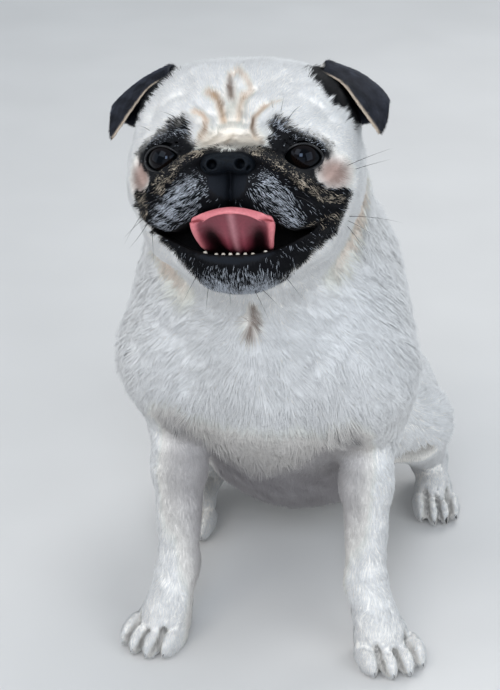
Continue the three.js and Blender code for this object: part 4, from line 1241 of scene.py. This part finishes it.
# A tube along a path; a closed path joins its ends, an open one closes over them
def tube(path, radii, sides, towards, closed=False):
    path = np.asarray(path, float)
    radii = np.broadcast_to(radii, len(path))
    ahead = np.roll(path, -1, 0) - np.roll(path, 1, 0)
    if not closed:
        ahead[0], ahead[-1] = path[1] - path[0], path[-1] - path[-2]
    ahead = unit(ahead)
    side = unit(np.cross(ahead, towards))
    up = np.cross(side, ahead)
    turn = np.linspace(0, 2 * math.pi, sides, endpoint=False)[None, :, None]
    ring = path[:, None] + radii[:, None, None] * (np.cos(turn) * side[:, None] + np.sin(turn) * up[:, None])
    index = np.arange(len(path) * sides).reshape(len(path), sides)
    if closed:
        index = np.concatenate([index, index[:1]])
    nextSide = np.roll(index, -1, 1)
    quads = np.stack([index[:-1], nextSide[:-1], nextSide[1:], index[1:]], -1).reshape(-1, 4)
    points, faces = ring.reshape(-1, 3), triangles(quads)
    if closed:
        return points, faces[:, ::-1]
    ends = len(points) + np.arange(2)
    first = np.stack([index[0], nextSide[0], np.full(sides, ends[0])], -1)[:, ::-1]
    last = np.stack([index[-1], nextSide[-1], np.full(sides, ends[1])], -1)
    return np.concatenate([points, path[[0, -1]]]), np.concatenate([faces, first, last])[:, ::-1]


def gather(parts):
    points, faces, start = [], [], 0
    for own, tris in parts:
        points.append(own)
        faces.append(tris + start)
        start += len(own)
    return np.concatenate(points), np.concatenate(faces)


# Eyeballs: a turned ball with the bulge of the cornea, and the wet rim of the lids round each
eyes = {
    "bulge": 0.9,
    "pupil": 3.6,
    "iris": 7.2,
    "rim": 0.85,
    "rimOut": 0.75,
    "dark": "#050607",
    "brown": "#0f0a08",
}


def makeEyes():
    finish = Finish("darkEye", Roughness=0.04, Specular_IOR_Level=0.15)
    finish.shader.inputs["Specular Tint"].default_value = (0.62, 0.76, 1, 1)
    finish.tinted(finish.attribute("eyeColour"), 0.6 + 0.8 * finish.noise(900, 3))
    rimFinish = Finish("wetLidRim", Roughness=0.3, Specular_IOR_Level=0.4)
    rimFinish.twoTone(rimFinish.noise(300), "#08080a", "#131317")
    dark, brown = np.array(colour(eyes["dark"])), np.array(colour(eyes["brown"]))
    for side, sign in (("left", 1), ("right", -1)):
        centre = np.array(eyeball["centre"], float) * (sign, 1, 1)
        angle = np.linspace(0.02, math.pi - 0.02, 60)
        reach = eyeball["radius"] + eyes["bulge"] * np.exp(-((angle / 0.62) ** 4)) - 0.2
        path = np.stack([0 * angle, 0 * angle, reach * np.cos(angle)], -1)
        points, faces = tube(path, reach * np.sin(angle), 56, (0, 1, 0))
        out = np.hypot(points[:, 0], points[:, 1])
        isFront = points[:, 2] > 0
        pupil = fadeOut(out, eyes["pupil"] - 0.4, eyes["pupil"] + 0.4) * isFront
        iris = fadeOut(out, eyes["iris"] - 0.8, eyes["iris"] + 0.3) * isFront
        tint = (dark + (brown - dark) * iris[:, None]) * (1 - 0.9 * pupil[:, None])
        ball = makeMesh("eye_" + side, fromHead(points @ eyeTurn(sign).T + centre), faces)
        setColours(ball, "eyeColour", tint)
        place(ball, finish.material, "eye", "eye_" + side)
        around = np.linspace(0, 2 * math.pi, 72, endpoint=False)
        x, y = lidShape(around)
        out = eyeball["radius"] + eyes["rimOut"]
        loop = np.stack([x, y, np.sqrt(out**2 - x**2 - y**2)], -1)
        radii = eyes["rim"] * (1 - 0.25 * np.sin(around))
        points, faces = tube(loop, radii, 10, (0, 0, 1), closed=True)
        rim = makeMesh("lidRim_" + side, fromHead(points @ eyeTurn(sign).T + centre), faces)
        place(rim, rimFinish.material, "eye")


makeEyes()
print("eyes ready")

# Nose leather
nostril = {
    "from": (7.4, 0.9, 72),
    "to": (8.6, 0.4, 60),
    "side": (13.8, -2.2, 66),
    "radius": 3.1,
    "cell": 0.8,
    "x": (-21, 21.5),
    "y": (-12, 16),
    "z": (44, 78),
}


def noseField(p):
    q = p.copy()
    q[:, 0] = np.abs(q[:, 0])
    r = nostril["radius"]
    hole = limbField(q, nostril["from"], nostril["to"], r, r * 0.8)
    slit = limbField(q, nostril["to"], nostril["side"], r * 0.7, r * 0.45)
    crease = np.hypot(q[:, 0], q[:, 2] - 70.5) - 1.3
    return carve(carve(noseBulk(p), hole, 1.2), join(slit, crease, 0.5), 1.2)


def makeNose():
    finish = Finish("noseLeather", Roughness=0.6, Specular_IOR_Level=0.12)
    pebbles = finish.node("ShaderNodeTexVoronoi", {}, {"Scale": 900, "Vector": finish.position()}, "Distance")
    finish.twoTone(pebbles, "#05070b", "#0c1219", (0.1, 0.7))
    finish.bump(pebbles, 0.35, 0.0004)
    lines = [np.arange(*nostril[axis], nostril["cell"]) for axis in "xyz"]
    points, quads = fieldSurface(noseField, *lines)
    place(makeMesh("nose", fromHead(points), quads), finish.material, "nose", "nose")


makeNose()

# The tongue's underside, licking up behind the lower teeth: height and depth of its path, then sizes along it
tongue = {
    "path": ((-46, 8), (-47, 24), (-45, 38), (-39.5, 49), (-33, 57), (-27.5, 63), (-24, 67)),
    "halfWidth": (14, 17, 20, 22.5, 24, 23.5, 21),
    "curl": (0, 0, 0, -4, -3, 2, 5),
    "sag": (0, 0, 0, 0, 1, 3.5, 7),
    "middle": 2.5,
    "thickness": 5.6,
    "hollow": 4.5,
    "ridge": 1.3,
    "roll": 1.5,
    "grid": (64, 73),
}


def makeTongue():
    finish = Finish("tongue", Roughness=0.38, Specular_IOR_Level=0.45)
    grain = finish.noise(650, 3)
    finish.tinted(finish.attribute("tongueColour"), 0.75 + 0.5 * grain)
    finish.bump(grain, 0.35, 0.0005)
    down = np.linspace(0, 1, tongue["grid"][0])[:, None]
    across = np.linspace(-1, 1, tongue["grid"][1])[None, :]
    # the sides end lower than the middle of the tip
    end = 1 - 0.05 * np.abs(across) ** 6
    t = (down * end).ravel() * (len(tongue["path"]) - 1)
    stations = [np.array(tongue["path"]), tongue["halfWidth"], tongue["curl"], tongue["sag"]]
    smooth = curveThrough(np.column_stack(stations), 301)
    stops = np.linspace(0, len(tongue["path"]) - 1, 301)
    y, z, half, curl, sag = (np.interp(t, stops, smooth[:, n]).reshape(tongue["grid"]) for n in range(5))
    rows = np.stack([tongue["middle"] + half * across, y - sag * across**2, z - curl * across**2], -1)
    rim = smoothStep(np.abs(across), 0.78, 0.94) * smoothStep(down, 0.3, 0.45)
    rim = np.maximum(rim, smoothStep(down, 0.91, 0.98) + 0 * across)
    rounding = np.sqrt(np.clip(1 - np.abs(across) ** 12, 0.03, 1) * np.clip(1 - down**30, 0.03, 1))
    points, quads = sheet(rows, tongue["thickness"] * rounding * (1 + 0.3 * rim) * (1 - 0.3 * down))
    side = np.abs(across)
    hollow = np.exp(-(((side - 0.6) / 0.22) ** 2) - ((down - 0.42) / 0.24) ** 2)
    ridge = np.exp(-((across / 0.09) ** 2)) * smoothStep(1 - down, 0.02, 0.12)
    cords = np.exp(-(((side - 0.22) / 0.07) ** 2)) * smoothStep(0.8 - down, 0, 0.3)
    normal = unit(np.cross(np.gradient(rows, axis=0), np.gradient(rows, axis=1)))
    front = 1 if normal[40, 36] @ (0, -0.3, 1) > 0 else -1
    push = tongue["ridge"] * ridge + tongue["roll"] * rim * 0.6 - tongue["hollow"] * hollow + 0.6 * cords
    moved = (normal * front * push[..., None]).reshape(-1, 3)
    n = rows.shape[0] * rows.shape[1]
    whole = slice(0, n) if front > 0 else slice(n, 2 * n)
    points[whole] += moved
    # painted shade: the hollows and the back of the tongue, in the mouth, are near black; painted highlight:
    # the lighter rim
    tint = np.array(colour("#732f3b")) * np.ones((*rows.shape[:2], 1))
    for weight, tone in (
        (0.9 * rim, "#cb747a"), (0.4 * cords, "#984855"), (0.6 * ridge, "#b87f86"),
        (np.clip(1.3 * hollow, 0, 1), "#1c070b"), (1 - smoothStep(down + 0 * across, 0.28, 0.42), "#1c080c"),
    ):
        tint = tint + (np.array(colour(tone)) - tint) * weight[..., None]
    piece = makeMesh("tongue", fromHead(points), quads)
    setColours(piece, "tongueColour", np.tile(tint.reshape(-1, 3), (2, 1)))
    place(piece, finish.material, "tongue", "tongue")


makeTongue()

# Lower teeth
teeth = {"count": 6, "step": 4.1, "height": 8, "radius": 2.0, "base": -56.3, "front": 46.5, "middle": 1}


def makeTeeth():
    finish = Finish("teeth", Roughness=0.3, Specular_IOR_Level=0.5)
    finish.twoTone(finish.noise(400), "#b8b0a2", "#d9d3c8")
    parts = []
    for i in range(-1, teeth["count"] + 1):
        isLong = i < 0 or i == teeth["count"]
        x = (i - (teeth["count"] - 1) / 2) * teeth["step"] * (1.18 if isLong else 1)
        height = teeth["height"] * (1.15 if isLong else 1)
        rise = np.linspace(0, 1, 9)
        across = teeth["middle"] + x * (1 + 0.03 * rise)
        ahead = teeth["front"] - 0.018 * x * x + 1.2 * rise**2 * isLong
        path = np.stack([across, teeth["base"] + height * rise, ahead], -1)
        radii = teeth["radius"] * np.sqrt(np.clip(1 - (0.93 * rise) ** 3, 0.02, 1))
        parts.append(tube(path, radii * (0.95 if isLong else 0.9), 10, (0, 0, 1)))
    points, faces = gather(parts)
    place(makeMesh("teeth", fromHead(points), faces), finish.material, "tongue")


makeTeeth()
print("nose, tongue and teeth ready")

# Ears: rows from the root over the crease to the rim, each running from the skull to the tip
ear = {
    "rows": (
        ((36, 57, -18), (48, 53, -36), (55, 42, -41), (58, 28, -34)),
        ((41, 62, -22), (60, 58, -35), (71, 46, -36), (76, 32, -27)),
        ((46, 65.5, -17), (64, 58.5, -24), (77, 49, -24), (84, 40, -18)),
        ((47, 62, -9), (62, 53, -11), (74, 41, -9), (83, 30, -9)),
        ((45, 58, -5), (57, 51, -1), (67, 38, 1), (81, 18, 2)),
    ),
    "thickness": 3.0,
    "grid": (61, 49),  # rows, and stations along each
    "dark": "#24262d",
    # the two rim tones are painted highlight on the ear's free edge
    "skinRim": "#b0a090",
    "hairRim": "#c9bba8",
    "coat": {"length": 3.0, "lift": 11, "width": 0.42, "density": 2.2},
}


# The rows of one ear, with the corners of its tip rounded; "down" runs to the rim and "along" to the tip
def earRows(down, along, sign):
    lines = np.stack([curveThrough(np.array(row) * (sign, 1, 1), len(along)) for row in ear["rows"]])
    rows = curveThrough(lines, len(down))
    pull = 1 - 0.05 * down**10 - 0.09 * bell(down - 0.52, 0.12) * 0.6
    station = np.clip(along[None, :] * pull, 0, 1) * (len(along) - 1)
    low = np.minimum(station.astype(int), len(along) - 2)
    share = (station - low)[..., None]
    row = np.arange(len(down))[:, None]
    return rows[row, low] * (1 - share) + rows[row, low + 1] * share


def growEarCoat(side, points, quads, rows, values):
    own = ear["coat"]
    tris = triangles(quads)
    normals = pointNormals(points, tris)

    def density(at):
        return np.full(len(at), own["density"])

    roots, out, shares = scatterRoots(points, tris, normals, density, values)
    count = len(roots)
    alongWay = unit(np.gradient(rows, axis=1).reshape(-1, 3))
    acrossWay = unit(np.gradient(rows, axis=0).reshape(-1, 3))
    lastRow, lastStation = ear["grid"][0] - 1, ear["grid"][1] - 1
    spot = np.clip((shares[:, 0] * lastRow).round().astype(int), 0, lastRow) * ear["grid"][1]
    spot += np.clip((shares[:, 1] * lastStation).round().astype(int), 0, lastStation)
    way = alongWay[spot] + 0.35 * acrossWay[spot] + draw.normal(0, 0.12, (count, 3))
    way = way @ headTurn.T
    way = unit(way - out * (way * out).sum(1, keepdims=True))
    dark, cream = np.array(colour(ear["dark"])), 0.8 * np.array(tones["cream"])
    # painted highlight along the rim
    onRim = smoothStep(shares[:, 0] + draw.normal(0, 0.012, count), 0.95, 0.985)[:, None]
    # painted sheen: lighter across the middle of the flap, with uneven tone over it
    paintedSheenAndTone = 1 + 1.6 * bell(shares[:, :1] - 0.5, 0.16) + 0.5 * swell(roots, 9, 31)[:, None]
    colours = dark * np.clip(paintedSheenAndTone, 0.5, 4) * draw.uniform(0.6, 1.6, (count, 1))
    colours += (np.array(colour(ear["hairRim"])) - colours) * onRim
    fromRoot = shares[:, 0] + 0.8 * shares[:, 1] + draw.normal(0, 0.05, count)
    colours += (cream - colours) * fadeOut(fromRoot, 0.32, 0.46)[:, None]
    length = own["length"] * draw.uniform(0.7, 1.2, count) * (1 - 0.3 * onRim[:, 0])
    lift = np.radians(own["lift"] * draw.uniform(0.5, 1.6, count))
    width = own["width"] * draw.uniform(0.7, 1.3, count)
    # the two faces of the ear lie side by side on the unwrap
    across = 0.02 + 0.47 * shares[:, 1] + 0.49 * (shares[:, 2] > 0.5)
    patches = np.column_stack([across, 0.02 + 0.96 * shares[:, 0]])
    growTufts("coat_ear_" + side, roots, out, way, length, lift, width, colours, patches, coatMaterial)


def makeEars():
    finish = coatFinish("earSkin", 0.7)
    finish.bump(finish.noise(1400, 3), 0.4, 0.0005)
    dark, rim = np.array(colour(ear["dark"])), np.array(colour(ear["skinRim"]))
    for side, sign in (("left", 1), ("right", -1)):
        down = np.linspace(0, 1, ear["grid"][0])[:, None]
        along = np.linspace(0, 1, ear["grid"][1])
        rows = earRows(down, along, sign)
        rounding = np.clip(1 - (2 * along[None, :] - 1) ** 20, 0.1, 1) * np.clip(1 - down**16, 0.1, 1)
        points, quads = sheet(rows, ear["thickness"] * (1 - 0.45 * down**2) * np.sqrt(rounding))
        points = fromHead(points)
        downAll = np.tile(np.repeat(down.ravel(), len(along)), 2)
        alongAll = np.tile(along, 2 * len(down))
        # painted highlight along the rim of the ear
        tint = dark + (rim - dark) * smoothStep(downAll, 0.955, 0.99)[:, None]
        tint = tint + (np.array(tones["cream"]) - tint) * fadeOut(downAll + 0.8 * alongAll, 0.3, 0.5)[:, None]
        piece = makeMesh("earSkin_" + side, points, quads)
        setColours(piece, "coatColour", tint)
        place(piece, finish.material, "ear", "ear_" + side)
        isBack = np.repeat([0.0, 1.0], rows.shape[0] * rows.shape[1])
        growEarCoat(side, points, quads, rows, np.column_stack([downAll, alongAll, isBack]))


makeEars()

# Claws: one on each toe, bent down
claw = {
    "length": 8.6,
    "radius": 1.8,
    "sunk": 5,
    "droop": (15, 62),
    "fan": 5,
    "lead": 0.28,
    "height": 8.5,
    "overFloor": 0.7,
}


def makeClaws():
    finish = Finish("claws", Roughness=0.35, Specular_IOR_Level=0.5)
    finish.twoTone(finish.noise(500, 3, 0.5, (1, 1, 0.3)), "#100f10", "#35302d", (0.3, 0.75))
    parts = []
    share = np.linspace(0, 1, 12)
    droop = np.radians(claw["droop"][0] + (claw["droop"][1] - claw["droop"][0]) * share)[:, None]
    radii = claw["radius"] * (1 - 0.94 * share**1.8)
    for leg in legs:
        paw = leg["paw"]
        acrossWay, aheadWay = pawWays(paw)
        for spread, lead in zip(toes["spread"], toes["lead"]):
            across, out = spread * paw["width"] * toes["step"], paw["length"] * (lead + claw["lead"])
            root = pawPoint(paw, across, out, claw["height"])
            fan = math.radians(spread * claw["fan"])
            ahead = aheadWay * math.cos(fan) + acrossWay * math.sin(fan)
            step = ahead[None] * np.cos(droop) - np.array([0, 0, 1]) * np.sin(droop)
            path = root - step[0] * claw["sunk"] + np.cumsum(step * claw["length"] / 11, axis=0)
            path[:, 2] = np.maximum(path[:, 2], claw["overFloor"])
            parts.append(tube(path, radii, 10, (0, 0, 1)))
    points, faces = gather(parts)
    place(makeMesh("claws", points, faces), finish.material, "coat")


makeClaws()

# Whiskers: root and way in the head's frame, length and how far they bend down
whiskers = {
    "radius": 0.2,
    "hairs": (
        ((62, 1, 22), (1, 0.42, 0.2), 32, 2), ((65, -1, 17), (1, 0.3, 0.1), 26, 1),
        ((61, -27, 6), (1, 0.02, 0), 34, 5), ((59, -31, 0), (0.7, -0.7, 0.2), 26, 7),
        ((60, -29, 4), (0.9, -0.35, 0.1), 22, 4),
        ((-53, -24, 37), (-0.6, -0.8, 0.2), 20, 4), ((-49, -30, 43), (-0.5, -0.9, 0.2), 24, -4),
        ((-47, -32, 44), (0.1, -1, 0.2), 22, 5), ((-51, -27, 40), (-0.8, -0.6, 0.2), 18, 3),
        ((-17, -67, 29), (-0.1, -1, 0.25), 15, 3), ((-24, -62, 31), (-0.5, -0.85, 0.2), 15, 2),
        ((-5, -71, 27), (0.1, -1, 0.2), 10, 0), ((10, -70, 29), (0.5, -0.8, 0.2), 17, 3),
        ((14, -69, 29), (0.75, -0.6, 0.2), 16, 2), ((28, -62, 31), (0.7, -0.7, 0.2), 17, 3),
        ((31, 26, 41), (0.55, 0.8, 0.5), 22, 7), ((27, 28, 42), (0.25, 0.95, 0.5), 17, 2),
        ((24, 29, 43), (-0.1, 1, 0.5), 13, 2),
        ((-51, 23, 27), (-0.5, 0.5, 0.6), 12, 3), ((-32, 28, 41), (-0.7, 0.7, 0.5), 16, 5),
        ((33, -22, 58), (0.55, -0.35, 0.8), 20, 7), ((37, -17, 56), (0.8, -0.1, 0.7), 22, 7),
        ((-31, -21, 58), (-0.55, -0.35, 0.8), 18, 7), ((-35, -16, 56), (-0.8, -0.1, 0.7), 20, 7),
        ((28, -25, 58), (0.3, -0.5, 0.8), 14, 5), ((-27, -25, 58), (-0.35, -0.5, 0.8), 14, 5),
    ),
}


def makeWhiskers():
    finish = Finish("whiskers", Roughness=0.4)
    finish.twoTone(finish.noise(200), "#0d0c0d", "#26221f")
    parts = []
    share = np.linspace(0, 1, 12)[:, None]
    for root, way, length, bend in whiskers["hairs"]:
        way = unit(np.array(way, float))
        path = np.array(root) + way * (length * share - 1.5) - np.array([0, 1, 0]) * bend * share**2
        parts.append(tube(path, whiskers["radius"] * (1.05 - share[:, 0]), 5, (0.1, 0.2, 1)))
    points, faces = gather(parts)
    place(makeMesh("whiskers", fromHead(points), faces), finish.material, "coat")


makeWhiskers()
print("ears, claws and whiskers ready")

# Floor, light and camera
floorSize = 6000


def makeFloor():
    finish = Finish("paleFloor", Roughness=0.7)
    stops = [(0.3, (0.62, 0.61, 0.6)), (0.7, (0.66, 0.65, 0.64))]
    finish.feed("Base Color", finish.ramp(finish.noise(6, 2), stops))
    corners = floorSize * np.array([(-1, -1, 0), (1, -1, 0), (1, 1, 0), (-1, 1, 0)], float)
    floor = makeMesh("floor", corners + originShift, np.array([[0, 1, 2, 3]]))
    floor.data.materials.append(finish.material)


# World light, then each lamp: place and target in metres, size, power, tint
studio = {
    "world": 0.6,
    "worldTint": (0.82, 0.91, 1, 1),
    "lamps": {
        "keyLight": ((-0.6, -1.2, 1.8), (0, 0, 0.25), 1.1, 10.5, (1, 0.96, 0.9)),
        "frontLight": ((0.2, -1.9, 0.35), (0, 0, 0.16), 1.4, 4.5, (0.96, 0.98, 1)),
        "sideLight": ((-1.5, -0.7, 0.8), (0, 0, 0.25), 1.2, 5, (1, 1, 1)),
        "catchLight": ((0.12, -1.15, 1.05), (0, -0.13, 0.36), 0.34, 5, (0.8, 0.88, 1)),
        "fillLight": ((1.3, -0.9, 0.9), (0, 0, 0.2), 1.2, 9, (0.93, 0.97, 1)),
        "rimLight": ((0.5, 1.3, 1.3), (0, 0, 0.3), 1.0, 11, (1, 1, 1)),
    },
}


def makeStudio():
    makeFloor()
    world = bpy.data.worlds.new("studio")
    world.use_nodes = True
    light = world.node_tree.nodes["Background"].inputs
    light["Color"].default_value = studio["worldTint"]
    light["Strength"].default_value = studio["world"]
    bpy.context.scene.world = world
    for name, (stand, target, size, power, tint) in studio["lamps"].items():
        lamp = bpy.data.lights.new(name, "AREA")
        lamp.size = size
        lamp.energy = power
        lamp.color = tint
        made = bpy.data.objects.new(name, lamp)
        made.location = stand
        made.rotation_euler = (Vector(target) - Vector(stand)).to_track_quat("-Z", "Y").to_euler()
        bpy.context.scene.collection.objects.link(made)
    bpy.context.scene.view_settings.view_transform = "Standard"


# The camera looks down by "height" degrees, from the photograph's side
view = {"azimuth": 12, "height": 26, "place": (230.66, -1125.43, 783.81), "lens": 104.66, "sensor": 36}


def makeCamera():
    camera = bpy.data.cameras.new("camera")
    camera.sensor_fit = "VERTICAL"
    camera.sensor_height = view["sensor"]
    camera.lens = view["lens"]
    camera.clip_end = 20
    made = bpy.data.objects.new("camera", camera)
    made.location = toMetres(view["place"])
    made.rotation_euler = (math.radians(90 - view["height"]), 0, math.radians(view["azimuth"]))
    bpy.context.scene.collection.objects.link(made)
    bpy.context.scene.camera = made


makeStudio()
makeCamera()
print("floor, light and camera ready")
